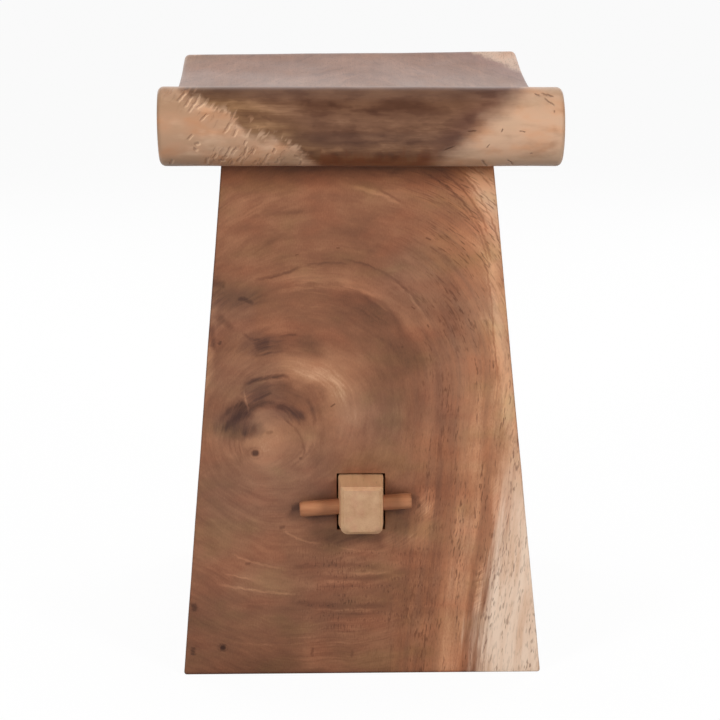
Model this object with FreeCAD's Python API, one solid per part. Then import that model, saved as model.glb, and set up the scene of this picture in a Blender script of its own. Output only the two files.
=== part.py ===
import FreeCAD, Part
import math
import os

# Saddle stool in solid wood: a plank seat with rolled ends and a hollowed top, two tapered slab legs,
# and a stretcher whose tenons pass through the legs and are locked outside them by round pegs.
# The long way of the seat is Y, its width is X, and Z is up from the floor at the stool's middle.
# The front half is modelled at -Y, and the rear half is the front one turned half way round Z.

# Whole stool, in millimetres
STOOL_HEIGHT = 457.0
SEAT_LENGTH = 450.0
SEAT_WIDTH = 298.0

# Seat
SEAT_END_THICKNESS = 58.5
SADDLE_DIP = 20.0
SEAT_EDGE_ROUND = 4.5

# Legs
LEG_TOP_WIDTH = 206.0
LEG_FOOT_WIDTH = 278.0
LEG_THICKNESS = 45.0
LEG_SETBACK = 45.0
LEG_EDGE_ROUND = 2.0

# Stretcher and its tenons
STRETCHER_AXIS_HEIGHT = 137.5
STRETCHER_WIDTH = 46.0
STRETCHER_DEPTH = 66.0
STRETCHER_EDGE_ROUND = 4.0
TENON_WIDTH = 34.5
TENON_DEPTH = 43.0
TENON_LOWER_ROUND = 5.0
TENON_REACH = 34.0
TENON_TIP_WIDTH = 31.6
TENON_TIP_DROP = 1.2
TENON_TIP_RISE = 5.0
TENON_TIP_BEVEL = 2.4
MORTISE_SIDE_GAP = 1.3
MORTISE_TOP_GAP = 1.4

# Pegs
PEG_DIAMETER = 12.4
PEG_LENGTH = 86.0
PEG_SHIFT = 3.4
PEG_TILT_DEGREES = 4.2
PEG_END_CHAMFER = 1.2
PEG_BORE_GAP = 0.08
PEG_LEG_GAP = 0.3

# Hidden dowels between legs and seat
DOWEL_DIAMETER = 14.0
DOWEL_LENGTH = 60.0
DOWEL_SPACING = 70.0
DOWEL_END_CHAMFER = 1.0
DOWEL_HOLE_GAP = 0.1
DOWEL_END_GAP = 1.0
DOWEL_PLACES = {"left": -1, "middle": 0, "right": 1}

# How far a cutting tool runs past the face that it opens
CUT_OVERRUN = 6.0

# Places that follow from the sizes above
NOSE_RADIUS = SEAT_END_THICKNESS / 2
NOSE_CENTRE_Y = SEAT_LENGTH / 2 - NOSE_RADIUS
SEAT_UNDERSIDE = STOOL_HEIGHT - SEAT_END_THICKNESS
LEG_OUTER_Y = SEAT_LENGTH / 2 - LEG_SETBACK
LEG_INNER_Y = LEG_OUTER_Y - LEG_THICKNESS
LEG_MIDDLE_Y = (LEG_OUTER_Y + LEG_INNER_Y) / 2
TENON_TOP = STRETCHER_AXIS_HEIGHT + TENON_DEPTH / 2
TENON_BOTTOM = STRETCHER_AXIS_HEIGHT - TENON_DEPTH / 2
PEG_Y = LEG_OUTER_Y + PEG_LEG_GAP + PEG_DIAMETER / 2

X_AXIS = FreeCAD.Vector(1, 0, 0)
Y_AXIS = FreeCAD.Vector(0, 1, 0)
Z_AXIS = FreeCAD.Vector(0, 0, 1)
ORIGIN = FreeCAD.Vector(0, 0, 0)
HALF_TURN_DEGREES = 180


def line(start, end):
    return Part.LineSegment(start, end).toShape()


def arc(start, middle, end):
    return Part.Arc(start, middle, end).toShape()


def solid_between(wires):
    """One solid with straight walls from each closed wire to the next."""
    return Part.makeLoft(wires, True, True)


def chamfered_pin(diameter, length, chamfer):
    """A round pin along Z, centred on the origin, with a small cone at each end."""
    pin = Part.makeCylinder(diameter / 2, length, FreeCAD.Vector(0, 0, -length / 2))
    ends = [edge for edge in pin.Edges if isinstance(edge.Curve, Part.Circle)]
    return pin.makeChamfer(chamfer, ends)


def turned_to_rear(shape):
    """The rear copy of a piece from the front half."""
    rear = shape.copy()
    rear.rotate(ORIGIN, Z_AXIS, HALF_TURN_DEGREES)
    return rear


# Dowels
def dowel_places():
    """Name and middle of each dowel in the front leg, at the joint between leg and seat."""
    for side, step in DOWEL_PLACES.items():
        yield side, FreeCAD.Vector(step * DOWEL_SPACING, -LEG_MIDDLE_Y, SEAT_UNDERSIDE)


def dowel(place):
    pin = chamfered_pin(DOWEL_DIAMETER, DOWEL_LENGTH, DOWEL_END_CHAMFER)
    pin.translate(place)
    return pin


def dowel_holes():
    """The drilled spaces for the front leg's dowels, half in the leg and half in the seat."""
    radius = DOWEL_DIAMETER / 2 + DOWEL_HOLE_GAP
    depth = DOWEL_LENGTH + DOWEL_END_GAP + DOWEL_END_GAP
    drills = []
    for _, place in dowel_places():
        bottom = place - FreeCAD.Vector(0, 0, depth / 2)
        drills.append(Part.makeCylinder(radius, depth, bottom))
    return Part.makeCompound(drills)


# Seat
def saddle_profile():
    """The seat's side view: flat below, a full round at each end, and one hollow arc tangent to both rounds."""
    saddle_radius = (NOSE_CENTRE_Y ** 2 + SADDLE_DIP ** 2) / (SADDLE_DIP + SADDLE_DIP) - NOSE_RADIUS
    saddle_bottom = STOOL_HEIGHT - SADDLE_DIP
    saddle_centre = FreeCAD.Vector(0, 0, saddle_bottom + saddle_radius)
    nose_centre = FreeCAD.Vector(0, NOSE_CENTRE_Y, SEAT_UNDERSIDE + NOSE_RADIUS)
    towards_saddle = (saddle_centre - nose_centre).normalize()
    blend = nose_centre + towards_saddle * NOSE_RADIUS

    def mirrored(point):
        return FreeCAD.Vector(point.x, -point.y, point.z)

    under = FreeCAD.Vector(0, NOSE_CENTRE_Y, SEAT_UNDERSIDE)
    tip = FreeCAD.Vector(0, SEAT_LENGTH / 2, SEAT_UNDERSIDE + NOSE_RADIUS)
    dip = FreeCAD.Vector(0, 0, saddle_bottom)
    return Part.Wire([
        line(mirrored(under), under),
        arc(under, tip, blend),
        arc(blend, dip, mirrored(blend)),
        arc(mirrored(blend), mirrored(tip), mirrored(under)),
    ])


def seat():
    profile = saddle_profile()
    profile.translate(X_AXIS * (-SEAT_WIDTH / 2))
    plank = Part.Face(profile).extrude(X_AXIS * SEAT_WIDTH)
    rims = [edge for edge in plank.Edges if edge.BoundBox.XLength < SEAT_EDGE_ROUND]
    plank = plank.makeFillet(SEAT_EDGE_ROUND, rims)
    holes = dowel_holes()
    return plank.cut(holes).cut(turned_to_rear(holes))


# Legs
def mortise():
    """The square hole through the front leg: the tenon sits on its floor, with room above and beside."""
    width = TENON_WIDTH + MORTISE_SIDE_GAP + MORTISE_SIDE_GAP
    length = LEG_THICKNESS + CUT_OVERRUN + CUT_OVERRUN
    corner = FreeCAD.Vector(-width / 2, -LEG_OUTER_Y - CUT_OVERRUN, TENON_BOTTOM)
    return Part.makeBox(width, length, TENON_DEPTH + MORTISE_TOP_GAP, corner)


def front_leg():
    """A slab that widens to the floor, with its edges eased everywhere but where it meets the seat."""
    outline = Part.makePolygon([
        FreeCAD.Vector(-LEG_FOOT_WIDTH / 2, -LEG_OUTER_Y, 0),
        FreeCAD.Vector(LEG_FOOT_WIDTH / 2, -LEG_OUTER_Y, 0),
        FreeCAD.Vector(LEG_TOP_WIDTH / 2, -LEG_OUTER_Y, SEAT_UNDERSIDE),
        FreeCAD.Vector(-LEG_TOP_WIDTH / 2, -LEG_OUTER_Y, SEAT_UNDERSIDE),
        FreeCAD.Vector(-LEG_FOOT_WIDTH / 2, -LEG_OUTER_Y, 0),
    ])
    slab = Part.Face(outline).extrude(Y_AXIS * LEG_THICKNESS)
    below_seat = SEAT_UNDERSIDE - LEG_EDGE_ROUND
    eased = [edge for edge in slab.Edges if edge.BoundBox.ZMin < below_seat]
    slab = slab.makeFillet(LEG_EDGE_ROUND, eased)
    return slab.cut(mortise()).cut(dowel_holes())


# Stretcher
def tenon_section(y, width, bottom, top):
    """A tenon's outline at one place along it: square above, with its two lower corners rounded."""
    side = width / 2
    round_x = side - TENON_LOWER_ROUND
    round_z = bottom + TENON_LOWER_ROUND
    across = TENON_LOWER_ROUND * math.sqrt(0.5)

    def at(x, z):
        return FreeCAD.Vector(x, y, z)

    return Part.Wire([
        line(at(-side, top), at(side, top)),
        line(at(side, top), at(side, round_z)),
        arc(at(side, round_z), at(round_x + across, round_z - across), at(round_x, bottom)),
        line(at(round_x, bottom), at(-round_x, bottom)),
        arc(at(-round_x, bottom), at(-round_x - across, round_z - across), at(-side, round_z)),
        line(at(-side, round_z), at(-side, top)),
    ])


def front_tenon():
    """The tenon from its shoulder at the leg's inner face to its whittled and bevelled tip."""
    tip_y = -LEG_OUTER_Y - TENON_REACH
    tip_top = TENON_TOP - TENON_TIP_DROP
    tip_bottom = TENON_BOTTOM + TENON_TIP_RISE
    bevelled_width = TENON_TIP_WIDTH - TENON_TIP_BEVEL - TENON_TIP_BEVEL
    return solid_between([
        tenon_section(-LEG_INNER_Y, TENON_WIDTH, TENON_BOTTOM, TENON_TOP),
        tenon_section(-LEG_OUTER_Y, TENON_WIDTH, TENON_BOTTOM, TENON_TOP),
        tenon_section(tip_y + TENON_TIP_BEVEL, TENON_TIP_WIDTH, tip_bottom, tip_top),
        tenon_section(tip_y, bevelled_width, tip_bottom + TENON_TIP_BEVEL, tip_top - TENON_TIP_BEVEL),
    ])


def stretcher():
    """The bar between the legs, shouldered all round, with a tenon and a slanting peg bore at each end."""
    corner = FreeCAD.Vector(-STRETCHER_WIDTH / 2, -LEG_INNER_Y, STRETCHER_AXIS_HEIGHT - STRETCHER_DEPTH / 2)
    bar = Part.makeBox(STRETCHER_WIDTH, LEG_INNER_Y + LEG_INNER_Y, STRETCHER_DEPTH, corner)
    long_edges = [edge for edge in bar.Edges if edge.BoundBox.YLength > LEG_INNER_Y]
    bar = bar.makeFillet(STRETCHER_EDGE_ROUND, long_edges)
    tenon = front_tenon().cut(peg_bore())
    return bar.fuse([tenon, turned_to_rear(tenon)])


# Pegs
def set_across_tenon(pin):
    """Lays a pin along X, tips its right end up, and moves it to the peg's place outside the front leg."""
    pin.rotate(ORIGIN, Y_AXIS, HALF_TURN_DEGREES / 2 - PEG_TILT_DEGREES)
    pin.translate(FreeCAD.Vector(0, -PEG_Y, STRETCHER_AXIS_HEIGHT))
    return pin


def front_peg():
    pin = chamfered_pin(PEG_DIAMETER, PEG_LENGTH, PEG_END_CHAMFER)
    pin.translate(Z_AXIS * -PEG_SHIFT)
    return set_across_tenon(pin)


def peg_bore():
    length = TENON_WIDTH + CUT_OVERRUN + CUT_OVERRUN
    drill = Part.makeCylinder(PEG_DIAMETER / 2 + PEG_BORE_GAP, length, Z_AXIS * (-length / 2))
    return set_across_tenon(drill)


# Assembly
def stool():
    """Every piece of the stool by its name."""
    pieces = {
        "seat": seat(),
        "front_leg": front_leg(),
        "stretcher": stretcher(),
        "front_peg": front_peg(),
    }
    for side, place in dowel_places():
        pieces["front_dowel_" + side] = dowel(place)
    for name, shape in list(pieces.items()):
        if name.startswith("front_"):
            pieces[name.replace("front_", "rear_")] = turned_to_rear(shape)
    return pieces


os.makedirs("parts", exist_ok=True)
for name, shape in stool().items():
    piece = shape.Solids[0] if len(shape.Solids) == 1 else shape
    piece.exportStep(os.path.join("parts", name + ".step"))
    size = piece.BoundBox
    print(f"{name}: {len(shape.Solids)} solid, valid {piece.isValid()}, {piece.Volume / 1000:.1f} cm3, "
          f"{size.XLength:.1f} x {size.YLength:.1f} x {size.ZLength:.1f} mm")
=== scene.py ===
# %% [markdown]
# A saddle stool in solid wood: a plank seat with rolled ends and a hollow top, two slab legs that widen to
# the floor, and a stretcher whose tenons come through the legs and are locked outside them by round pegs.
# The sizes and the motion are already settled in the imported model, so the lesson starts by loading it as a
# frame that is never moved. Every piece below is made in metres in that same frame and rides on one of its
# bodies.

# %% Load the frame
import math
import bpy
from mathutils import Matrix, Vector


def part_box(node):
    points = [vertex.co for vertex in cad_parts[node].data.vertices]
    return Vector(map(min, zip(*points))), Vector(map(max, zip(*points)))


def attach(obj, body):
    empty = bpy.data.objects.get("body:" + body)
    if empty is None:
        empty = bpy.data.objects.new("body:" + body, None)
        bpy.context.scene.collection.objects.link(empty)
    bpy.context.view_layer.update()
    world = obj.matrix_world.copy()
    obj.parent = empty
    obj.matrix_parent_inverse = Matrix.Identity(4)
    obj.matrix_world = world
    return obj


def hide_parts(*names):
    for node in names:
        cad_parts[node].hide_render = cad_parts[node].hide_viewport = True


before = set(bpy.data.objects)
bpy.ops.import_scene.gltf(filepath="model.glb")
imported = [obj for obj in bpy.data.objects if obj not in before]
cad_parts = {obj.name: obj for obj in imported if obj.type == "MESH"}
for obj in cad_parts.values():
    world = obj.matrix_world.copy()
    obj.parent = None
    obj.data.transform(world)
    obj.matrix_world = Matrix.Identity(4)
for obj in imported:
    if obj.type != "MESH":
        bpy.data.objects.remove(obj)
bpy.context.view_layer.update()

from types import SimpleNamespace

import bmesh
import bpy
from mathutils import Matrix, Vector, noise

MM = 0.001

# %% [markdown]
# The photograph looks at the end of the stool from a little above, through a long lens that keeps the sides
# nearly parallel. A camera could be aimed by eye, but the tilt and the lens can be worked out from the
# straight edges of the legs and the seat, so the camera is written down as a place, three small angles and
# a focal length.

# %% Camera
CAMERA_PLACE = Vector((-0.0316, -1.9116, 0.5887))
CAMERA_TILT = math.radians(11.095)
CAMERA_YAW = math.radians(1.056)
CAMERA_ROLL = math.radians(0.159)
SENSOR_WIDTH = 36.0
FOCAL_LENGTH = 116.23

lens = bpy.data.cameras.new("stool_camera")
lens.sensor_width = SENSOR_WIDTH
lens.lens = FOCAL_LENGTH
camera = bpy.data.objects.new("stool_camera", lens)
bpy.context.scene.collection.objects.link(camera)
bpy.context.scene.camera = camera

flat = math.cos(CAMERA_TILT)
ahead = Vector((math.sin(CAMERA_YAW) * flat, math.cos(CAMERA_YAW) * flat, -math.sin(CAMERA_TILT)))
level = Vector((math.cos(CAMERA_YAW), -math.sin(CAMERA_YAW), 0.0))
upright = level.cross(ahead)
right = level * math.cos(CAMERA_ROLL) - upright * math.sin(CAMERA_ROLL)
up = level * math.sin(CAMERA_ROLL) + upright * math.cos(CAMERA_ROLL)
camera.matrix_world = Matrix.Translation(CAMERA_PLACE) @ Matrix((right, up, -ahead)).transposed().to_4x4()
print("camera", round(CAMERA_PLACE.length, 2), "m from the stool's foot")

# %% [markdown]
# All node maths in this lesson is written as ordinary sums. A node tree could be wired by hand, socket by
# socket, but a wood finish here has many hundreds of nodes. One small class holds a socket, and a sum on it
# adds the Math node that does that sum. Everything that is not a sum comes from its node method: the kind
# of node, its settings, its sockets.


# %% A value that does sums in a node tree
class Grain:
    """One socket of a finish's node tree. Sums written on it become Math nodes."""

    def __init__(self, tree, socket):
        self.tree = tree
        self.socket = socket

    def node(self, kind, settings, sockets, out=0):
        """Adds any node: its settings first, then the values or links of its sockets."""
        made = self.tree.nodes.new("ShaderNode" + kind)
        for name, value in settings.items():
            if name == "stops":
                lay_stops(made.color_ramp, value)
            else:
                setattr(made, name, value)
        for name, value in sockets.items():
            if isinstance(value, Grain):
                self.tree.links.new(value.socket, made.inputs[name])
            else:
                made.inputs[name].default_value = value
        return Grain(self.tree, made.outputs[out]) if made.outputs else None

    def maths(self, operation, *values):
        return self.node("Math", {"operation": operation}, dict(enumerate(values)))

    def __add__(self, other):
        return self.maths("ADD", self, other)

    def __radd__(self, other):
        return self.maths("ADD", other, self)

    def __sub__(self, other):
        return self.maths("SUBTRACT", self, other)

    def __rsub__(self, other):
        return self.maths("SUBTRACT", other, self)

    def __mul__(self, other):
        return self.maths("MULTIPLY", self, other)

    def __rmul__(self, other):
        return self.maths("MULTIPLY", other, self)

    def __truediv__(self, other):
        return self.maths("DIVIDE", self, other)

    def root(self):
        return self.maths("SQRT", self)

    def clip(self):
        """The value held between 0 and 1."""
        return self.node("Clamp", {}, {"Value": self})

    def rise(self, low, high, most=1.0):
        """0 below low, the most above high, and a smooth rise between them, which needs no clamp."""
        sockets = {"Value": self, "From Min": low, "From Max": high, "To Max": most}
        return self.node("MapRange", {"interpolation_type": "SMOOTHSTEP", "clamp": False}, sockets)

    def fall(self, low, high, most=1.0):
        """The most below low, 0 above high."""
        return self.rise(high, low, most)

    def blend(self, under, over, how="MIX"):
        """The colour under, covered by the colour over as far as this value says."""
        colours = {0: self, 6: under, 7: over}
        return self.node("Mix", {"data_type": "RGBA", "blend_type": how}, colours, out=2)

    def ramp(self, stops):
        """The colour at this value, from 0 to 1, along a row of colours."""
        return self.node("ValToRGB", {"stops": stops}, {0: self})


def lay_stops(ramp, stops):
    """Sets a colour ramp's stops from pairs of a place from 0 to 1 and a colour."""
    while len(ramp.elements) < len(stops):
        ramp.elements.new(1.0)
    for element, (place, colour) in zip(ramp.elements, stops):
        element.position = place
        element.color = colour


def paint(red, green, blue):
    """A colour as a picture shows it, from 0 to 255, turned into the linear colour that shaders use."""
    linear = [((part / 255 + 0.055) / 1.055) ** 2.4 for part in (red, green, blue)]
    return (*linear, 1.0)


print("a mid brown is", [round(part, 3) for part in paint(139, 98, 75)])

# %% [markdown]
# The stool stands on a plain pale floor under soft studio light, against white. A white wall could be lit
# until it clips, but that light would also spill on the wood. Here the floor and the world show white to
# the camera, and the wood is lit by large soft lamps at a plain level. Reflections see no lamps, only a
# soft world that is white towards the back, which gives the seat's top its pale sheen. The floor keeps some
# shading of its own, so the stool's shadow stays.

# %% Floor and world
FLOOR_REACH = 30.0
FLOOR_WHITENESS = 0.95
FLOOR_GREY = (0.42, 0.42, 0.42, 1.0)
FLOOR_PALE = (0.9, 0.9, 0.9, 1.0)
WHITE = (1.0, 1.0, 1.0, 1.0)
WORLD_LIGHT = 0.10
SIDE_SHEEN = 0.2
FRONT_SHEEN = 0.25
BACK_SPAN = (0.7, 0.95)
FRONT_SPAN = (-0.9, -0.5)

floor_mesh = bpy.data.meshes.new("studio_floor")
edge = FLOOR_REACH / 2
corners = [(-edge, -edge, 0), (edge, -edge, 0), (edge, edge, 0), (-edge, edge, 0)]
floor_mesh.from_pydata(corners, [], [(0, 1, 2, 3)])
floor = bpy.data.objects.new("studio_floor", floor_mesh)
bpy.context.scene.collection.objects.link(floor)


def light_path(tree, name):
    """1 for light of the named kind and 0 for any other."""
    return Grain(tree, None).node("LightPath", {}, {}, name)


floor_paint = bpy.data.materials.new("pale_floor")
floor_paint.use_nodes = True
tree = floor_paint.node_tree
tree.nodes.clear()
to_camera = light_path(tree, "Is Camera Ray")
matt = to_camera.node("BsdfDiffuse", {}, {"Color": to_camera.blend(FLOOR_GREY, FLOOR_PALE)})
white = to_camera.node("Emission", {}, {"Color": WHITE, "Strength": 1.0})
shown = to_camera.node("MixShader", {}, {0: to_camera * FLOOR_WHITENESS, 1: matt, 2: white})
to_camera.node("OutputMaterial", {}, {"Surface": shown})
floor_mesh.materials.append(floor_paint)

world = bpy.data.worlds.new("studio")
bpy.context.scene.world = world
world.use_nodes = True
tree = world.node_tree
tree.nodes.clear()
to_camera = light_path(tree, "Is Camera Ray")
to_gloss = light_path(tree, "Is Glossy Ray")
direction = to_camera.node("TexCoord", {}, {}, "Generated")
backwards = to_camera.node("SeparateXYZ", {}, {0: direction}, "Y")
sheen = SIDE_SHEEN + (1 - SIDE_SHEEN) * backwards.rise(*BACK_SPAN)
sheen = sheen + FRONT_SHEEN * backwards.fall(*FRONT_SPAN)
lit = WORLD_LIGHT + to_gloss * (sheen - WORLD_LIGHT)
sky = to_camera.node("Background", {}, {"Color": WHITE, "Strength": lit + to_camera * (1 - lit)})
to_camera.node("OutputWorld", {}, {"Surface": sky})
bpy.context.scene.view_settings.view_transform = "Standard"
print("floor", FLOOR_REACH, "m, world light", WORLD_LIGHT)

# %% [markdown]
# The shade under the seat is short and soft, and the seat's top is as bright as its front. So two large
# lamps stand in front, at left and right, and one hangs above and a little behind. Two weaker ones light
# the far end.

# %% Lamps
LAMPS = {
    "front_left": ((-1.5, -2.1, 1.3), (0.6, 1.1), 43.0),
    "front_right": ((1.5, -2.1, 1.3), (0.6, 1.1), 43.0),
    "overhead": ((0.0, 0.4, 2.3), (1.4, 1.4), 24.0),
    "rear_left": ((-1.7, 2.0, 1.2), (1.4, 1.4), 27.0),
    "rear_right": ((1.7, 2.0, 1.2), (1.4, 1.4), 27.0),
}
STOOL_MIDDLE = Vector((0.0, 0.0, 0.24))

for name, (place, (wide, tall), power) in LAMPS.items():
    lamp = bpy.data.lights.new(name, "AREA")
    lamp.shape = "RECTANGLE"
    lamp.size = wide
    lamp.size_y = tall
    lamp.energy = power
    lamp_object = bpy.data.objects.new(name, lamp)
    lamp_object.location = place
    lamp_object.rotation_euler = (STOOL_MIDDLE - Vector(place)).to_track_quat("-Z", "Y").to_euler()
    lamp_object.visible_glossy = False
    bpy.context.scene.collection.objects.link(lamp_object)
print(len(LAMPS), "lamps,", sum(power for _, _, power in LAMPS.values()), "W")

# %% [markdown]
# The finishes are solid: they are worked out from a point's place in the plank, in millimetres, and not
# painted on its faces. So a figure that shows on a face runs on round the edge and comes out on the next
# one, as in real wood. Noise stretched far along one direction makes streaks and pores. A line that noise
# would never put in its right place, such as a crack, a gouge or the edge of a shade, is a single bent
# stroke with soft sides, given by its middle, length, width, lean, bow and weight. An image could hold all
# this, but it would stretch on the rounds and stop at the edges.

# %% Starting a finish, noise and marks, closing it
SATIN = 0.42


def start_finish(name, turned=1):
    """A new material and the shaded point's place in mm; a turned piece stands half way round."""
    finish = bpy.data.materials.new(name)
    finish.use_nodes = True
    tree = finish.node_tree
    tree.nodes.clear()
    spot = Grain(tree, None).node("TexCoord", {}, {}, "Object")
    across, along, height = (spot.node("SeparateXYZ", {}, {0: spot}, axis) for axis in "XYZ")
    return finish, across / (turned * MM), along / (turned * MM), height / MM


def speckle(a, b, c, seed, detail=2.0, rough=0.5):
    """Soft noise, mostly from -1 to 1, over three values, with a bump about every unit."""
    spot = a.node("CombineXYZ", {}, {0: a + seed, 1: b, 2: c})
    cloud = a.node("TexNoise", {}, {"Vector": spot, "Scale": 1.0, "Detail": detail, "Roughness": rough})
    return (cloud - 0.5) * 4.0


def size_of(value):
    return value.maths("ABSOLUTE", value)


def larger(value, other):
    return value.maths("MAXIMUM", value, other)


def dashes(across, height, depth, lean, long, narrow, few, seed):
    """Scattered short strokes that lean by an angle from the level."""
    turn = math.radians(lean)
    ahead = (across * math.cos(turn) + height * math.sin(turn)) / long
    aside = (height * math.cos(turn) - across * math.sin(turn)) / narrow
    return speckle(aside, ahead, depth, seed, 1.0).rise(few, few + 0.4)


def strokes(across, height, plan):
    """Single bent strokes added up, each with its middle, length, width, lean, bow and weight."""
    spot = across.node("CombineXYZ", {}, {0: across, 1: height, 2: 1.0})
    total = 0.0
    for x, z, long, wide, lean, bow, weight in plan:
        c, s = math.cos(math.radians(lean)), math.sin(math.radians(lean))
        ends = (2 * c / long, 2 * s / long, -2 * (x * c + z * s) / long)
        sides = (-s, c, x * s - z * c - bow)
        ahead = spot.node("VectorMath", {"operation": "DOT_PRODUCT"}, {0: spot, 1: ends}, "Value")
        aside = spot.node("VectorMath", {"operation": "DOT_PRODUCT"}, {0: spot, 1: sides}, "Value")
        reach = ahead * ahead
        aside = aside + bow * reach if bow else aside
        body = size_of(aside).fall(wide * 0.1, wide * 1.15, weight)
        total = body.maths("MULTIPLY_ADD", body, reach.fall(0.3, 1.15), total)
    return total


def marks(across, height, plan):
    """Single straight strokes, each with its middle, length, width and lean."""
    return strokes(across, height, [(*mark, 0.0, 1.0) for mark in plan]).clip()


def close_finish(colour, roughness, relief):
    """Joins a colour, a roughness and a relief in mm to a satin wood shader."""
    bump = colour.node("Bump", {}, {"Height": relief * MM, "Distance": 1.0, "Strength": 1.0})
    sockets = {"Base Color": colour, "Roughness": roughness, "Normal": bump, "IOR": 1.45}
    shader = colour.node("BsdfPrincipled", {}, sockets)
    colour.node("OutputMaterial", {}, {"Surface": shader})


print("plain roughness of the wood:", SATIN)

# %% [markdown]
# The front leg is a slab cut beside a knot. Its growth lines are ovals that crowd together low on the left,
# at the knot, and open out to the upper right; far to the right they run straight down to the floor. Rings
# could be drawn with a wave texture, but its rings are round. An oval with the knot at its focus is the
# distance from the knot less a share of the way towards the open side, so one short sum gives the whole
# family of lines.

# %% Growth lines round a knot
OVAL_SHARE = 0.283
LINE_LEAN = 0.12
WIDEST = 0.295
FACE_DEPTH = 180.0


def oval(u, v):
    """The oval through a point, counted outwards from the knot in mm."""
    return (u * u + v * v).root() - OVAL_SHARE * (u + v)


def knot_lines(across, along, height, knot, wobble, seed):
    """The closing lines round the knot, the open lines beside them, and the place seen from the knot."""
    sway = speckle(across / 85, along / 200, height / 85, seed)
    heave = speckle(across / 85, along / 200, height / 85, seed + 31)
    inwards = 0.22 * (along + FACE_DEPTH)
    ripple = 1.2 * speckle(across / 22, along / 60, height / 22, seed + 57)
    u = across - knot[0]
    v = height - knot[1]
    ringed = oval(u + wobble * sway, v + wobble * heave) + ripple + inwards
    above = v.maths("SMOOTH_MAX", v, WIDEST * u, 40.0)
    beside = u + LINE_LEAN * (above - v) + 0.25 * wobble * sway
    return ringed, oval(beside, above) + inwards, beside, v


pull = OVAL_SHARE * math.sqrt(2)
print("an oval reaches", round((1 + pull) / (1 - pull), 2), "times as far up right as down left")

# %% [markdown]
# Along that count the wood goes light and dark as it grew: a pale knot, a dark ring, a pale flame, then the
# brown crescents. A ramp of a few stops holds that order; below the knot, and on the right where the lines
# are open, the order is another. Noise stretched along the lines breaks it into bands, fine streaks, and
# pale and dark hairlines.

# %% Light and dark across the growth lines
RING_SPAN = 200.0


def grey(value):
    return (value, value, value, 1.0)


def tone_of(out, rings):
    """The tone, from 0 for dark to 1 for pale, at a count across the growth lines."""
    return (out / RING_SPAN).ramp([(place / RING_SPAN, grey(tone)) for place, tone in rings]) + 0.0


def hairline(out, across, height, spacing, seed):
    """Thin lines along the growth lines, here and there."""
    lines = speckle(out / spacing, across / 90, height / 90, seed, 1.0)
    here = speckle(across / 40, height / 40, out / 30, seed + 1).rise(-0.2, 0.6)
    return (1.0 - lines * lines * 40.0).clip() * here


def streaks_along(out, across, height, width, long, seed):
    """Noise drawn out along the growth lines."""
    return speckle(out / width, across / long, height / long, seed, 3.0, 0.6)


print("growth lines are counted over", RING_SPAN, "mm")

# %% [markdown]
# A slab's wood has few colours: one ramp from the darkest heartwood to the palest, two tones of sapwood,
# the dark of pores and stains, and faint casts that are multiplied in, because old oiled wood is nowhere
# one brown.

# %% The legs' colours
HEARTWOOD = [
    (0.00, paint(60, 34, 24)),
    (0.25, paint(95, 60, 43)),
    (0.50, paint(129, 85, 61)),
    (0.75, paint(160, 112, 82)),
    (1.00, paint(196, 151, 118)),
]
SAP_PALE = paint(222, 196, 174)
SAP_TAN = paint(205, 169, 142)
PORE_DARK = paint(84, 47, 30)
STAIN_DARK = paint(72, 46, 40)
OLIVE = (0.94, 1.03, 0.96, 1.0)
PINK = (1.04, 0.95, 0.94, 1.0)
ORANGE = (1.05, 0.98, 0.92, 1.0)
GREYED = (0.92, 1.0, 1.10, 1.0)
# The last cast is painted shade: the warm dark of the wood in the seat's shadow.
PAINTED_SHADE_TINT = (1.10, 0.92, 0.74, 1.0)
print("red of the heartwood from", round(HEARTWOOD[0][1][0], 3), "to", round(HEARTWOOD[-1][1][0], 3))
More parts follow.
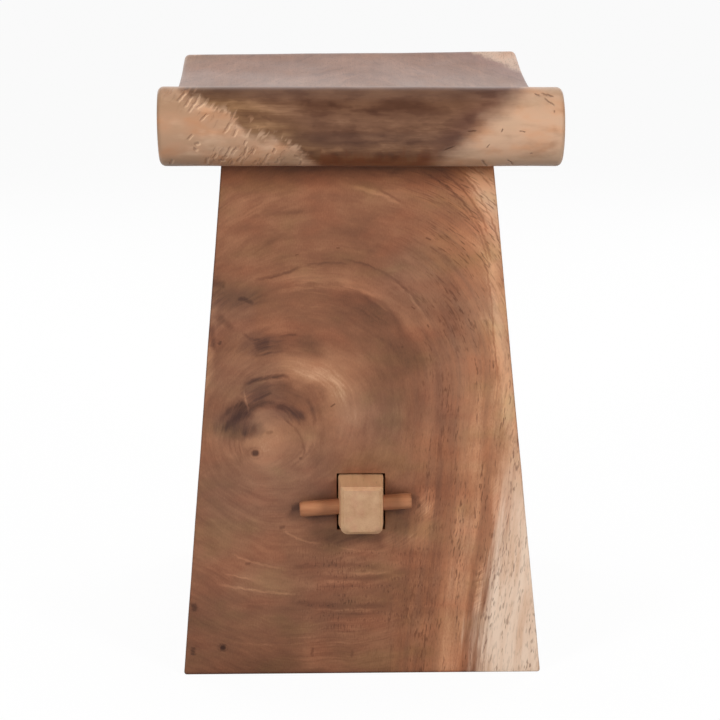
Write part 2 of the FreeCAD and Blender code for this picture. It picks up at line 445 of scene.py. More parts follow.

# %% [markdown]
# The figure of the front leg is what one knows it by: the knot, the order of light and dark lines round it,
# above it stains like thumb marks, thin cracks, cool grey patches, and crosswise ripples under the tenon.
# Noise alone gives some other slab. So the main lines are listed, in mm across and above the floor,
# and noise fills in between them.

# %% What is placed on the front leg
FRONT_FIGURE = {
    "knot": (-74.0, 181.0),
    "rings": [(0, 0.66), (16, 0.64), (30, 0.52), (50, 0.54), (60, 0.52), (66, 0.50), (86, 0.50), (95, 0.51),
              (108, 0.49), (113, 0.45), (117, 0.51), (136, 0.55), (150, 0.53), (170, 0.58), (200, 0.54)],
    "low_rings": [
        (0, 0.64), (14, 0.62), (26, 0.56), (50, 0.52), (90, 0.51), (118, 0.52), (128, 0.55), (137, 0.58),
        (142, 0.53), (150, 0.51), (155, 0.47), (160, 0.46), (180, 0.41), (200, 0.38),
    ],
    "open_rings": [
        (0, 0.6), (60, 0.50), (72, 0.47), (80, 0.54), (86, 0.48), (92, 0.56), (98, 0.49), (105, 0.60),
        (110, 0.82), (119, 0.78), (122, 0.56), (128, 0.62), (134, 0.54), (142, 0.66), (160, 0.76),
    ],
    "stains": [
        (-79, 227, 10, 8, 0.53), (-75, 262, 13, 9, 0.40), (-96, 297, 20, 8, 0.32), (-112, 292, 7, 30, 0.26),
        (-94, 202, 15, 8, 0.42), (-54, 208, 13, 6, 0.40), (-83, 194, 8, 6, 0.40),
    ],
    "pin_knots": [(-80, 177, 7), (-107, 22, 5)],
    "greys": [
        (-70, 150, 130, 46.0, 10, 0, 1.0), (-84, 205, 70, 20.0, 20, 0, 1.0),
        (-100, 285, 50, 30.0, 0, 0, 0.8), (-70, 60, 140, 52.0, 0, 0, 0.4),
        (58, 298, 100, 34.0, -35, 0, 1.0), (-90, 234, 70, 26.0, 0, 0, 0.7), (8, 203, 60, 30.0, 0, 0, 0.9),
        (66, 228, 90, 28.0, 80, 0, 0.8), (98, 366, 70, 14.0, -65, 5, 0.9),
    ],
    "strokes": [
        (-94, 200, 29, 4.2, 36, 3.0, 0.28), (-84, 194, 13, 5.0, 25, 0, 0.24),
        (-52, 208, 26, 4.2, -29, 2.1, 0.26), (-73, 197, 64, 5.0, 1, 18, 0.22),
        (-21, 229, 40, 13.0, -44, 2, -0.12), (-46, 240, 36, 10.0, -14, 2, -0.09),
        (-47, 285, 64, 11.0, 0, 2, -0.07), (-80, 177, 5, 3.5, 0, 0, 0.24), (-69, 193, 6, 1.8, 20, 0, 0.20),
        (-52, 188.5, 38, 1.4, -62, 6.6, 0.14), (-97, 209, 27, 2.6, 39, 2.5, 0.16),
        (-38, 209.5, 23, 2.2, -73, 2.3, 0.14), (-70.5, 233.5, 37, 2.2, 10, 2.3, 0.34),
        (-74, 221, 17, 1.4, 21, 0, 0.20), (-74, 261.5, 13, 6.0, 10, 0, 0.20),
        (-81, 267.5, 15, 1.7, -19, -1.7, 0.18), (-72.5, 254, 14, 1.4, 12, 0, 0.16),
        (-54, 268, 15, 2.0, 6, 0, 0.14), (-86, 295, 13, 2.2, -21, 0.7, 0.28),
        (-106, 308, 11, 4.5, -5, 0, 0.22), (-111.5, 267.5, 22, 3.2, -85, 0, 0.30),
        (-102, 278, 20, 3.4, -43, 1, 0.15), (-60.5, 316.5, 38, 1.6, 16, -1.7, 0.22),
        # Painted shade: the wide strokes at 138 and 110 mm high and the short ones by the pegs' ends are the
        # pegs' shadow on the leg and the shade under the tenon.
        (-25, 322, 36, 1.3, 2, 1.5, 0.12), (-2, 138, 98, 11.0, 4, 0, 0.15), (-4, 110, 50, 8.0, 0, 0, 0.20),
        (-49, 133.5, 9, 4.5, 4, 0, 0.20), (43, 141.5, 6, 3.0, 4, 0, 0.06),
        (-55, 256, 60, 10.0, -2, 6, 0.19), (-75, 293, 76, 15.0, 0, 3, 0.09),
        (48, 120, 46, 15.0, 78, 0, -0.17), (-12, 28, 84, 26.0, 0, 0, -0.16),
        (-70, 181, 36, 19.0, 60, 0, -0.15), (-94, 212, 20, 7.0, 40, 2, 0.14),
        (66, 290, 60, 16.0, -65, 0, 0.12), (30, 107, 30, 10.0, 0, 0, -0.16),
        (94, 362, 84, 10.0, -63, 7, -0.20), (101, 290, 90, 6.0, -84, 2, -0.12),
        (112, 236, 110, 7.0, -84, 0, -0.16), (86, 380, 40, 1.0, -48, 3, 0.22),
        (93, 384, 34, 1.0, -50, 2.5, 0.22), (84, 346, 64, 1.0, -64, 5, 0.16),
        (101, 352, 60, 0.9, -72, 3, 0.14), (97, 300, 60, 0.9, -82, 2, 0.14),
        (103, 255, 50, 1.0, -84, 0, 0.14), (-117, 255, 90, 6.0, 84, 0, -0.16),
        (18.5, 303.5, 81, 1.3, -35, 10.6, 0.14), (23, 374.5, 21, 1.3, -32, 0, 0.13),
        (-52.5, 362, 26, 2.2, 6, 0, 0.12), (73, 356, 92, 1.3, -54, 12, 0.24),
        (90, 363, 66, 1.2, -62, 5.7, 0.26), (79, 368, 62, 1.1, -54, 5.8, 0.24),
        (-29, 257, 47, 6.0, -6, 8.5, 0.05), (-17, 85.5, 72, 3.2, -1, 2, 0.14),
        (-4, 78.5, 57, 2.6, 1, -1.7, 0.13), (-12.5, 70.5, 40, 1.3, 0, 0, 0.12),
        (-14, 57.5, 84, 3.4, -3, -3, 0.11), (-5, 48.5, 40, 1.3, 0, 0, 0.09),
        (-107, 22, 7, 3.2, 80, 0, 0.22), (-37.5, 18, 8, 1.5, 85, 0, 0.20), (-6.5, 16, 8, 1.4, 85, 0, 0.15),
        (-128.5, 55, 8, 3.0, -85, 0, 0.25), (-130, 19, 7, 2.6, -85, 0, 0.25),
        (-86.5, 89.5, 4.5, 1.5, -10, 0, 0.22), (-60, 118, 5, 2.0, 0, 0, 0.25),
        (-106, 263, 4, 1.6, 60, 0, 0.25), (-45, 173, 3, 1.4, 0, 0, 0.20),
        (-86.3, 217.5, 20, 1.1, -80, 0, -0.22), (-23.5, 296, 97, 2.6, -3, 9.3, -0.13),
        (-29.5, 308, 45, 2.2, 3, 2.7, -0.07), (40, 289, 50, 2.2, -52, 4.2, -0.11),
        (14.5, 372.5, 46, 2.2, -22, 3, -0.13), (-87, 358, 34, 2.2, 22, 0, -0.08),
        (2.5, 102.5, 51, 1.2, -4, -3.7, -0.09), (4, 82.5, 47, 1.2, 0, -1.6, -0.09),
        (-13, 74.5, 30, 2.0, 0, 0, -0.11), (-10, 53, 60, 1.4, 0, -1.6, -0.11),
        (-44.5, 111, 32, 1.3, -21, -2.9, -0.18), (-80, 91.5, 41, 1.2, -17, -1.5, -0.19),
        (-94, 79, 21, 1.1, -14, 0, -0.16), (-78.5, 69, 67, 1.4, -8, -1.5, -0.19),
        (-81.5, 57, 26, 1.0, -2, 0, -0.08), (-64.5, 26, 66, 1.0, 0, -2, -0.07),
        (51, 138, 24, 9.0, 80, 0, -0.20), (92, 68, 46, 5.0, 86, 0, -0.28),
        (101, 384, 24, 6.0, -70, 0, -0.12), (-96, 180, 18, 8.0, 60, 0, -0.13),
        (-41, 178, 30, 10.0, 70, 0, -0.10), (48, 34, 30, 8.0, 80, 0, -0.10),
        (-16, 372, 46, 9.0, 0, 0, 0.08), (34, 219, 40, 10.0, 80, 0, -0.08),
        (114, 196, 60, 6.0, -85, 0, -0.12), (104, 140, 40, 6.0, -86, 0, -0.12),
        (82, 140, 40, 7.0, -86, 0, 0.10), (56, 390, 24, 7.0, 0, 0, 0.08), (-8, 8, 80, 9.0, 0, 0, -0.10),
        (-82, 178, 12, 6.0, 0, 0, 0.14), (-82, 219, 14, 5.0, 20, 0, -0.12),
        (-112, 262, 80, 5.0, 85, 0, -0.14), (92, 376, 40, 9.0, -60, 4, -0.12),
    ],
    "marks": [
        (52, 341.6, 5, 0.9, -25), (32.3, 259, 1.5, 0.9, 0), (52, 275, 3, 0.9, -60),
        (40.6, 289, 4, 0.7, -35), (-20.4, 214, 5, 0.9, 35), (-16, 335, 3, 0.7, 0), (-47, 330, 3, 0.6, 15),
        (92, 150, 4, 0.7, 80),
    ],
}
print({part: len(plan) for part, plan in FRONT_FIGURE.items()})

# %% [markdown]
# On the slab both families of lines are worked out, the closing ones round the knot and the open ones on
# the right. Close to the knot a dark ring, a pale flame and a brown crescent lie only on some sides of it,
# so they are masks on the count of lines and on the direction from the knot.

# %% Lines of a slab


def knot_shades(ringed, u, v):
    """The dark ring over the knot, the pale flame at its upper right and the brown crescent beyond."""
    away = (u * u + v * v).root() + 1.0
    over_left = ((v * 0.85 - u * 0.5) / away).rise(-0.1, 0.7)
    over_right = ((u * 0.67 + v * 0.74) / away).rise(0.3, 0.95)
    to_flame = ((u * 0.70 + v * 0.71) / away).rise(0.72, 0.97)
    ring = ringed.rise(17, 23) * ringed.fall(27, 37) * over_left
    flame = ringed.rise(32, 42) * ringed.fall(45, 60) * (0.2 * over_right + 0.8 * to_flame)
    up_right = (u / away).rise(0.2, 0.65) * (v / away).rise(0.05, 0.5)
    crescent = ringed.rise(56, 80) * ringed.fall(84, 89) * up_right
    rim = ringed.rise(84.5, 87.5) * ringed.fall(88, 96) * over_right
    return 0.20 * flame + 0.08 * rim - 0.18 * ring - 0.18 * crescent


def slab_lines(across, along, height, plan, seed):
    """The tone of the closing lines and of the open ones, with the streaks that other effects follow."""
    ringed, opened, u, v = knot_lines(across, along, height, plan["knot"], 5.0, seed)
    patchy = speckle(across / 50, along / 60, height / 38, seed + 29).rise(-0.5, 0.7)
    crumple = 4.0 * speckle(across / 17, along / 40, height / 13, seed + 27, 2.0) * ringed.fall(15, 75)
    closing = tone_of(ringed, plan["rings"])
    low = v.fall(-20, 25)
    closing = closing + (tone_of(ringed, plan["low_rings"]) - closing) * low
    closing = closing + knot_shades(ringed + crumple, u, v)
    fine = ringed.rise(6, 24) * streaks_along(ringed, across, height, 1.5, 26, seed + 5)
    broad = streaks_along(ringed, across, height, 7.0, 70, seed + 3)
    mottle = speckle(ringed / 5, across / 16, height / 16, seed + 41, 3.0, 0.6)
    lined = ringed.rise(6, 24) - 0.45 * low
    closing = closing + ringed.rise(2, 24) * (0.04 * broad + 0.06 * mottle)
    closing = closing + lined * (0.015 + 0.035 * patchy) * fine
    closing = closing + 0.10 * lined * patchy * hairline(ringed, across, height, 11, seed + 7)
    closing = closing - 0.09 * lined * patchy * hairline(ringed, across, height, 13, seed + 17)
    open_fine = streaks_along(opened, across, height, 1.1, 45, seed + 6)
    open_broad = streaks_along(opened, across, height, 4.5, 70, seed + 4)
    upright = height.fall(120, 280)
    swung = opened + 7.0 * height.rise(140, 240)
    running = 0.56 + (0.25 + 0.75 * upright) * (tone_of(swung, plan["open_rings"]) - 0.56)
    running = running + 0.10 * open_broad + 0.035 * open_fine
    running = running - 0.08 * hairline(opened, across, height, 4, seed + 19)
    return closing, running, opened, u, low, (broad, fine, open_broad, open_fine)


print("tones on the closing lines:", len(FRONT_FIGURE["rings"]), "on the open:", len(FRONT_FIGURE["open_rings"]))

# %% [markdown]
# The closing lines fade into the open ones towards the right, and both together are one tone. Under the
# tenon the grain catches the light crosswise as a faint ripple, and the placed strokes are drawn on a slightly
# ragged place so that they look torn and not ruled. A thin dark line along the eased edges and the foot is
# painted shade, and so is the darker tone close under the seat.

# %% Light and dark of a slab
FOOT_HALF_WIDTH = 139.0
SIDE_SLOPE = 36.0 / 398.5


def slab_edge(across, height):
    """How far a point of the slab lies inside its slanting edges, in mm."""
    return FOOT_HALF_WIDTH - height * SIDE_SLOPE - size_of(across)


def slab_tone(across, along, height, plan, seed):
    """The tone of a slab, with the counts and streaks that its colours follow."""
    closing, running, opened, u, low, streaks = slab_lines(across, along, height, plan, seed)
    broad, fine = streaks[:2]
    right_side = (u + 6.0 * broad).rise(92, 145)
    tone = closing + (running - closing) * right_side
    tone = tone + 0.28 * slab_edge(across, height).fall(4, 44) * u.rise(90, 140)
    under_tenon = low * across.rise(-70, -20) * across.fall(45, 80)
    under_tenon = under_tenon * height.rise(15, 50) * height.fall(92, 116)
    hatch = dashes(across, height, along / 0.9, 88, 5, 1.0, 0.15, seed + 21)
    waves = speckle(height / 4.0 + 0.6 * broad, across / 38, along / 60, seed + 22, 2.0)
    tone = tone + under_tenon * (0.06 * waves - 0.20 * hatch * waves.rise(-0.3, 0.4))
    tone = tone + 0.07 * speckle(across / 60, along / 60, height / 40, seed + 2)
    tone = tone + 0.05 * speckle(across / 22, along / 40, height / 13, seed + 45, 3.0)
    ragged_x = across + 0.8 * speckle(across / 5, along / 30, height / 5, seed + 47)
    ragged_z = height + 0.8 * speckle(across / 5, along / 30, height / 5, seed + 49)
    at_face = along.fall(-FACE_DEPTH + 4, -FACE_DEPTH + 14)
    tone = tone - at_face * (0.9 + 0.5 * fine) * strokes(ragged_x, ragged_z, plan["strokes"])
    tone = tone + 0.04 * speckle(across / 0.9, along / 0.9, height / 2.2, seed + 23, 1.0)
    for knot_x, knot_z, size in plan["pin_knots"]:
        x, z = across - knot_x + 0.8 * broad, height - knot_z + 0.8 * fine
        away = (x * x + z * z * 1.6).root() / size
        tone = tone - 0.26 * away.fall(0.25, 0.6) - 0.07 * away.rise(0.6, 0.8) * away.fall(0.8, 1.0)
    # Painted shade: a thin dark line along the eased edges and the foot, and a darker band close under the seat.
    painted_edge_shade = larger(slab_edge(across, height).fall(0.4, 2.0), height.fall(0.6, 3.0))
    painted_under_seat_shade = height.rise(368, 396)
    return tone - 0.16 * painted_edge_shade - 0.12 * painted_under_seat_shade, opened, right_side, streaks


print("a slab's side leans", round(math.degrees(math.atan(SIDE_SLOPE)), 1), "degrees")

# %% [markdown]
# The tone picks the brown, and faint casts go over it: olive and pink at random, orange on the right, grey
# where it was placed, and a warm painted shade close under the seat. Then come the stains, the pale sapwood
# outside the last line of heartwood, and last the pores, which lie over all of it and are sunk a little.

# %% Finish of a slab


def slab_finish(name, plan, seed, turned=1):
    """The finish of a leg, from its plan of placed lines."""
    finish, across, along, height = start_finish(name, turned)
    tone, opened, right_side, streaks = slab_tone(across, along, height, plan, seed)
    broad, fine, open_broad, open_fine = streaks
    colour = tone.clip().ramp(HEARTWOOD)
    hue = speckle(across / 45, along / 60, height / 26, seed + 9)
    colour = hue.rise(0.0, 0.8).blend(colour, OLIVE, "MULTIPLY")
    colour = hue.fall(-0.8, 0.1).blend(colour, PINK, "MULTIPLY")
    colour = (right_side * open_broad.rise(-0.6, 0.4)).blend(colour, ORANGE, "MULTIPLY")
    colour = strokes(across, height, plan["greys"]).clip().blend(colour, GREYED, "MULTIPLY")
    # Painted shade: the wood close under the seat is warmed and darkened, as in the seat's shadow.
    colour = height.rise(372, 396).blend(colour, PAINTED_SHADE_TINT, "MULTIPLY")
    for stain_x, stain_z, wide, tall, depth in plan["stains"]:
        side = (across - stain_x + 6 * broad) / wide
        rise = (height - stain_z + 3 * fine + 4 * broad) / tall
        patch = (depth + 0.25 * fine) * (side * side + rise * rise).fall(0.0, 2.2)
        colour = patch.clip().blend(colour, STAIN_DARK)
    sap = opened + 6.0 * open_broad + 3.0 * open_fine + 3.5 * height.fall(20, 110)
    sap = sap.rise(125, 141) * right_side * height.fall(90, 220)
    sap_tone = speckle(opened / 6, across / 60, height / 60, seed + 11, 3.0, 0.6)
    colour = sap.blend(colour, sap_tone.rise(-1.0, 0.5).blend(SAP_TAN, SAP_PALE))
    crowded = speckle(opened / 6, across / 60, height / 60, seed + 15).rise(-0.3, 0.5)
    pores = speckle(opened / 0.85, along / 0.85, height / 6, seed + 13, 1.0).rise(0.1, 0.8)
    knocks = marks(across, height, plan["marks"])
    hollow = larger(pores * (0.05 + right_side * (0.12 + 0.45 * crowded)), knocks * 0.7)
    colour = hollow.blend(colour, PORE_DARK)
    close_finish(colour, SATIN + 0.04 * broad + 0.1 * hollow, 0.02 * fine - 0.10 * hollow)
    return finish


front_leg_wood = slab_finish("front_leg_wood", FRONT_FIGURE, 0.0)
print("front leg finish:", len(front_leg_wood.node_tree.nodes), "nodes")

# %% [markdown]
# The rear leg is the next slab of the same tree, turned half way round. The same function makes it from
# another plan: its knot sits elsewhere, its lines are quieter and few of them are placed, because no view
# of it has to be matched.

# %% The rear leg's finish
REAR_FIGURE = {
    "knot": (-38.0, 243.0),
    "rings": [(0, 0.56), (18, 0.58), (30, 0.50), (48, 0.54), (60, 0.46), (70, 0.52), (90, 0.44), (97, 0.54),
              (112, 0.47), (125, 0.53), (150, 0.46), (170, 0.52), (200, 0.46)],
    "low_rings": [
        (0, 0.56), (20, 0.56), (45, 0.47), (60, 0.52), (84, 0.42), (100, 0.50), (120, 0.40), (124, 0.52),
        (150, 0.42), (162, 0.50), (200, 0.40),
    ],
    "open_rings": [
        (0, 0.6), (60, 0.50), (70, 0.44), (78, 0.56), (86, 0.46), (94, 0.64), (100, 0.50), (108, 0.58),
        (116, 0.70), (124, 0.56), (140, 0.66), (160, 0.74),
    ],
    "stains": [(-60, 300, 14, 9, 0.40), (-92, 262, 18, 8, 0.35), (-42, 238, 4, 3, 0.7)],
    "pin_knots": [(-42, 238, 7), (64, 61, 5), (-96, 88, 4)],
    "greys": [(-40, 200, 130, 40.0, -10, 0, 0.8), (-60, 285, 70, 20.0, 20, 0, 0.8)],
    "strokes": [
        (-44, 262, 30, 3.5, 20, 3, 0.24), (-22, 255, 20, 2.0, -35, 2, 0.16),
        (20, 160, 60, 1.5, 4, -3, 0.12), (-70, 120, 50, 1.2, -12, -2, -0.10),
        (60, 330, 70, 1.5, -40, 8, 0.16), (-10, 70, 70, 2.0, -3, -2, 0.12),
    ],
    "marks": [(41, 322, 4, 0.8, -25), (-66, 142, 3, 0.8, 20), (74, 210, 4, 0.7, 75), (-20, 60, 3, 0.7, 5)],
}
rear_leg_wood = slab_finish("rear_leg_wood", REAR_FIGURE, 17.0, -1)
print("rear leg finish:", len(rear_leg_wood.node_tree.nodes), "nodes")

# %% [markdown]
# The seat is cut from a paler plank. Its heartwood is a dusty brown, its sapwood is tan, and the lower edge of
# its front end has kept a rusty tone. On top, a mauve tint over the heartwood and a paler, cooler one over the
# sapwood are painted sheen. Each is a colour of its own, because one ramp from brown to tan would pass
# through the wrong colours between them.

# %% The seat's colours
SEAT_HEART = [
    (0.00, paint(56, 30, 18)),
    (0.35, paint(88, 57, 41)),
    (0.60, paint(110, 77, 57)),
    (0.80, paint(132, 97, 74)),
    (1.00, paint(156, 118, 92)),
]
SEAT_SAP_TAN = paint(172, 133, 105)
SEAT_SAP_PALE = paint(193, 155, 127)
SEAT_SAP_RUST = (1.02, 0.90, 0.80, 1.0)
SEAT_RUST = paint(104, 54, 31)
SEAT_WARM = (1.06, 0.97, 0.80, 1.0)
SAP_TOP_PAINTED_SHEEN = (0.99, 1.05, 1.14, 1.0)
# Painted shade for the upper round of the front end.
NOSE_TOP_PAINTED_SHADE = (0.88, 0.87, 0.85, 1.0)
SEAT_SAP_GREY = (0.93, 0.97, 0.98, 1.0)
TEAR_LIGHT = paint(222, 184, 152)
SEAT_PURPLE = (0.98, 0.94, 1.06, 1.0)
HEART_TOP_PAINTED_SHEEN = (1.06, 0.97, 1.02, 1.0)
SEAT_OLIVE = (1.04, 1.06, 0.92, 1.0)
print("red of the seat's sapwood from", round(SEAT_SAP_TAN[0], 3), "to", round(SEAT_SAP_PALE[0], 3))

# %% [markdown]
# The plane tore the wood where its grain turns, so short slanting tears follow the left side of the seat's
# front end, and a few gouges lie on the right. They and the soft shades between them are listed one by one,
# as on the leg.

# %% What is placed on the seat
SEAT_TEARS = [
    (-130.3, 451.5, 9, 0.8, 48), (-125.3, 448.6, 10, 0.8, 54), (-121.7, 445.7, 12, 0.8, 53),
    (-116.6, 445.7, 7, 0.7, 35), (-113.7, 437.7, 9, 0.6, 42), (-96.7, 430.4, 11, 0.8, 55),
    (-91, 426.7, 7, 0.7, 60), (-123.8, 423.4, 6, 0.7, 45), (-118.8, 418.3, 4, 1.4, 30),
    (-120.2, 413.9, 3, 1.6, 60), (-97, 411.4, 12, 0.8, 62), (-92, 412.8, 8, 0.7, 56),
    (-84, 412.5, 9, 0.7, 72), (-78.3, 412.5, 6, 0.6, 63), (-69, 406.6, 10, 0.7, 63),
    (-63, 412.8, 4, 0.8, 60), (-101.4, 405.2, 5, 1.2, 10), (-112.3, 405.2, 6, 1.0, 70),
    (-88.5, 405.9, 6, 0.8, 45), (-77, 403.7, 5, 0.9, 30), (-61, 403.7, 4, 0.8, 45),
    (-45.8, 407.4, 6, 1.2, 150), (-43.7, 402.3, 5, 0.8, 70), (-138.3, 404.4, 5, 0.9, 60),
    (-106, 409, 5, 0.7, 50), (-73, 401, 5, 0.7, 60), (-94, 403, 5, 0.7, 65), (-84, 419, 5, 0.7, 58),
]
SEAT_GOUGES = [
    (92, 401.5, 9, 0.9, 129), (110.5, 402.6, 7, 0.8, 135), (81.6, 426.7, 7, 0.6, 5),
    (65, 413.9, 9, 0.5, 28), (138.3, 447.1, 9, 0.8, 145), (137.5, 451.5, 9, 0.7, 166),
    (141.2, 440.2, 1, 1.2, 0), (129.6, 451.9, 4, 0.8, 150), (118, 426.3, 5, 0.5, 170),
    (103, 427, 3, 0.5, 60), (125.3, 409.6, 2, 0.7, 20), (93.5, 415.4, 4, 0.5, 50),
]
SEAT_STROKES = [
    (28, 444.5, 48, 8.0, 0, 0, 0.10), (-29, 447.5, 30, 3.0, 0, 0, 0.14), (-4, 442.5, 46, 2.2, -12, 0, 0.10),
    (10, 432, 64, 5.0, 0, 0, -0.06), (14, 419, 78, 1.4, 1, 0, 0.10), (10, 413.5, 104, 5.0, 0, 0, -0.16),
    (-18, 407, 11, 4.0, 85, 0, 0.16), (14, 408, 9, 3.0, 85, 0, 0.16), (25, 405, 7, 3.0, 85, 0, 0.16),
    (48, 409, 12, 4.0, 80, 0, 0.16), (-67, 437, 9, 1.4, -30, 0, 0.16), (-60, 426, 7, 3.0, 0, 0, 0.10),
    (-33, 411.5, 8, 2.4, 0, 0, 0.20), (-82, 446, 84, 8.0, -4, 0, -0.27),
    (-70, 429, 44, 10.0, -12, 0, -0.20), (60, 430, 40, 9.0, 30, 0, -0.07), (-10, 425, 50, 3.0, 2, 0, 0.08),
    (-105, 449, 20, 3.0, -10, 0, 0.12), (-141, 420, 16, 6.0, 80, 0, 0.16), (-125, 406, 34, 4.0, 0, 0, 0.14),
    (-108, 428, 22, 5.0, 10, 0, -0.12), (124, 438, 30, 6.0, 0, 0, -0.08), (122, 408, 44, 5.0, 0, 0, 0.12),
    (142, 424, 22, 4.0, 90, 0, 0.10), (-43, 410, 10, 5.0, 85, 0, 0.16), (-76, 428, 16, 7.0, 0, 0, -0.14),
    (-11, 428, 18, 6.0, 0, 0, 0.12), (-16, 410, 20, 4.0, 0, 0, 0.12), (-98, 428, 12, 5.0, 55, 0, 0.10),
    (102, 446, 24, 7.0, 0, 0, -0.14), (-114, 446, 18, 6.0, 50, 0, 0.06), (70, 428, 24, 7.0, 40, 0, -0.08),
]
print(len(SEAT_TEARS), "tears,", len(SEAT_GOUGES), "gouges,", len(SEAT_STROKES), "shades")

# %% [markdown]
# The plank was cut with the tree's middle above it, so its end shows rings like a shallow bowl: brown
# heartwood in the bowl, pale sapwood at both sides of it, and a steeper wall on the right. The wall's
# height over the floor at each place across is one short sum, and heartwood is what lies above it. The bowl
# opens out towards the seat's middle, so the pale corners show on top only near the ends. The noises are
# kept together by name, because every colour below uses them.

# %% The bowl of heartwood and the seat's noises
BOWL_X = 26.0
BOWL_Z = 364.0
BOWL_SOFT = 18.0
BOWL_DRIFT = 0.03
BOWL_OPENING = 85.0
BOWL_END = 195
BOWL_FRONT = 220.0
BOWL_STEEP = 0.805
BOWL_TILT = 0.195
BOWL_BULGE = (-80, 426, 34, 9.0, -48, 0, 5.0)


def heart_bowl(across, along, height, seed):
    """How far a point lies inside the bowl of heartwood, in mm, and the two noises that bend its wall."""
    share = along / BOWL_END
    u = across - BOWL_X + BOWL_DRIFT * (along + BOWL_FRONT)
    opening = BOWL_OPENING * (1.0 - share * share).clip()
    wall = BOWL_Z + BOWL_STEEP * (u * u + BOWL_SOFT ** 2).root() + BOWL_TILT * u - opening
    sway = speckle(across / 40, along / 160, height / 24, seed)
    crumple = speckle(across / 9, along / 60, height / 7, seed + 2)
    inside = (height - wall) * 0.75 + 4.0 * sway + 2.0 * crumple
    return inside + strokes(across, height, [BOWL_BULGE]), sway, crumple


def seat_plank(name, seed):
    """A new finish and, by name, its places, its noises and the masks of its ends."""
    finish, across, along, height = start_finish(name)
    inside, sway, crumple = heart_bowl(across, along, height, seed)
    return finish, SimpleNamespace(
        across=across, along=along, height=height, inside=inside, crumple=crumple,
        bands=speckle(height / 6 + 0.4 * sway, across / 48, along / 260, seed + 3, 3.0, 0.55),
        streaks=speckle(height / 1.5, across / 20, along / 120, seed + 5, 3.0, 0.65),
        blotch=speckle(across / 20, along / 120, height / 10, seed + 7, 3.0),
        patches=speckle(across / 26, along / 90, height / 7, seed + 8, 3.0, 0.6).rise(-0.15, 0.2) - 0.5,
        at_end=size_of(along).rise(190, 210),
        at_front=along.fall(-210, -190),
        layers=speckle(inside / 5 + 0.4 * sway, across / 150, along / 150, seed + 31, 3.0, 0.6),
        long_streaks=speckle(across / 5, along / 130, height / 14, seed + 33, 3.0, 0.6),
        fibres=speckle(across / 0.9, along / 45, height / 5, seed + 35, 3.0, 0.6),
        smudges=speckle(across / 34, along / 60, height / 40, seed + 37, 3.0, 0.55),
    )


print("the bowl's lowest point is", BOWL_Z + BOWL_STEEP * BOWL_SOFT, "mm over the floor")

# %% [markdown]
# The ends show the wood cut across, in bands and blotches, and the sides and top show it along its length,
# in streaks and thin lines. So each has a figure of its own, and a mask of the ends changes one for the
# other over the rounds.

# %% Heartwood of the seat


def heart_tone(plank, drawn, seed):
    """Light and dark of the heartwood, less the shades that are drawn on the front end."""
    out = plank.inside + 0.6 * plank.long_streaks
    thin_lines = hairline(out, plank.across, plank.along / 2, 8, seed + 41)
    on_top = 0.10 * plank.layers + 0.07 * plank.long_streaks + 0.05 * plank.fibres + 0.08 * plank.smudges
    on_top = on_top - 0.14 * thin_lines
    on_end = 0.09 * plank.bands + 0.035 * plank.streaks + 0.15 * plank.blotch + 0.10 * plank.patches
    # The lift at the foot of both ends is painted light, set against the shade under the round.
    on_end = on_end + 0.10 * plank.height.fall(398, 414) - 0.05
    tone = 0.52 + on_top + (on_end - on_top) * plank.at_end
    tone = tone - 0.03 * plank.inside.fall(3, 18) * plank.across.rise(-40, 40)
    return tone - drawn + 0.24 * size_of(plank.along).fall(180, 212)


def heart_colour(plank, tone, seed):
    """Browns from the tone, a painted mauve sheen on top, purple and olive casts, and a ragged rusty foot in
    front.
    """
    colour = tone.clip().ramp(SEAT_HEART)
    # Painted sheen: on top the heartwood is tinted mauve, as a pale reflection would tint it.
    colour = (1.0 - plank.at_end).blend(colour, HEART_TOP_PAINTED_SHEEN, "MULTIPLY")
    colour = (plank.inside.fall(2, 26) * plank.across.rise(20, 70)).blend(colour, SEAT_PURPLE, "MULTIPLY")
    colour = (plank.inside.fall(4, 26) * plank.across.fall(-60, 0)).blend(colour, SEAT_OLIVE, "MULTIPLY")
    fringe = speckle(plank.across / 4, plank.along / 60, plank.height / 30, seed + 43)
    ragged = plank.height + 3.0 * plank.crumple + 7.0 * fringe
    rust = ragged.fall(400, 412) * plank.across.rise(-48, -38) * plank.across.fall(48, 62)
    colour = (rust * plank.at_front * (0.75 + 0.3 * fringe)).clip().blend(colour, SEAT_RUST)
    return (plank.at_front * plank.height.fall(404, 426)).blend(colour, SEAT_WARM, "MULTIPLY")


print("heartwood has", len(SEAT_HEART), "browns")

# %% [markdown]
# The sapwood outside the bowl is two tans in soft patches. Its border is spiky on the left of the ends,
# where the wood tore, soft on the right, and streaky along the top. The tears are sunk, and each has a pale
# lip, a painted highlight where the light would catch it.

# %% Sapwood, tears and the seat's finish


def sap_colour(plank, drawn, seed):
    """Two tans, with casts of rust and grey, and a pale painted sheen on top."""
    tone = speckle(plank.height / 9, plank.across / 30, plank.along / 200, seed + 11, 3.0, 0.6)
    tone = tone + 0.5 * plank.blotch + plank.across / 250
    tone = tone + (0.5 * plank.long_streaks + 0.4 * plank.fibres) * (1.0 - plank.at_end) - 5.0 * drawn
    colour = tone.rise(-0.8, 0.7).blend(SEAT_SAP_TAN, SEAT_SAP_PALE)
    hue = speckle(plank.across / 24, plank.along / 80, plank.height / 13, seed + 23)
    colour = hue.rise(-0.1, 0.7).blend(colour, SEAT_SAP_RUST, "MULTIPLY")
    colour = hue.fall(-0.7, 0.1).blend(colour, SEAT_SAP_GREY, "MULTIPLY")
    # Painted sheen: on top the sapwood is made paler and cooler, as a pale reflection would make it.
    return (1.0 - plank.at_end).blend(colour, SAP_TOP_PAINTED_SHEEN, "MULTIPLY")


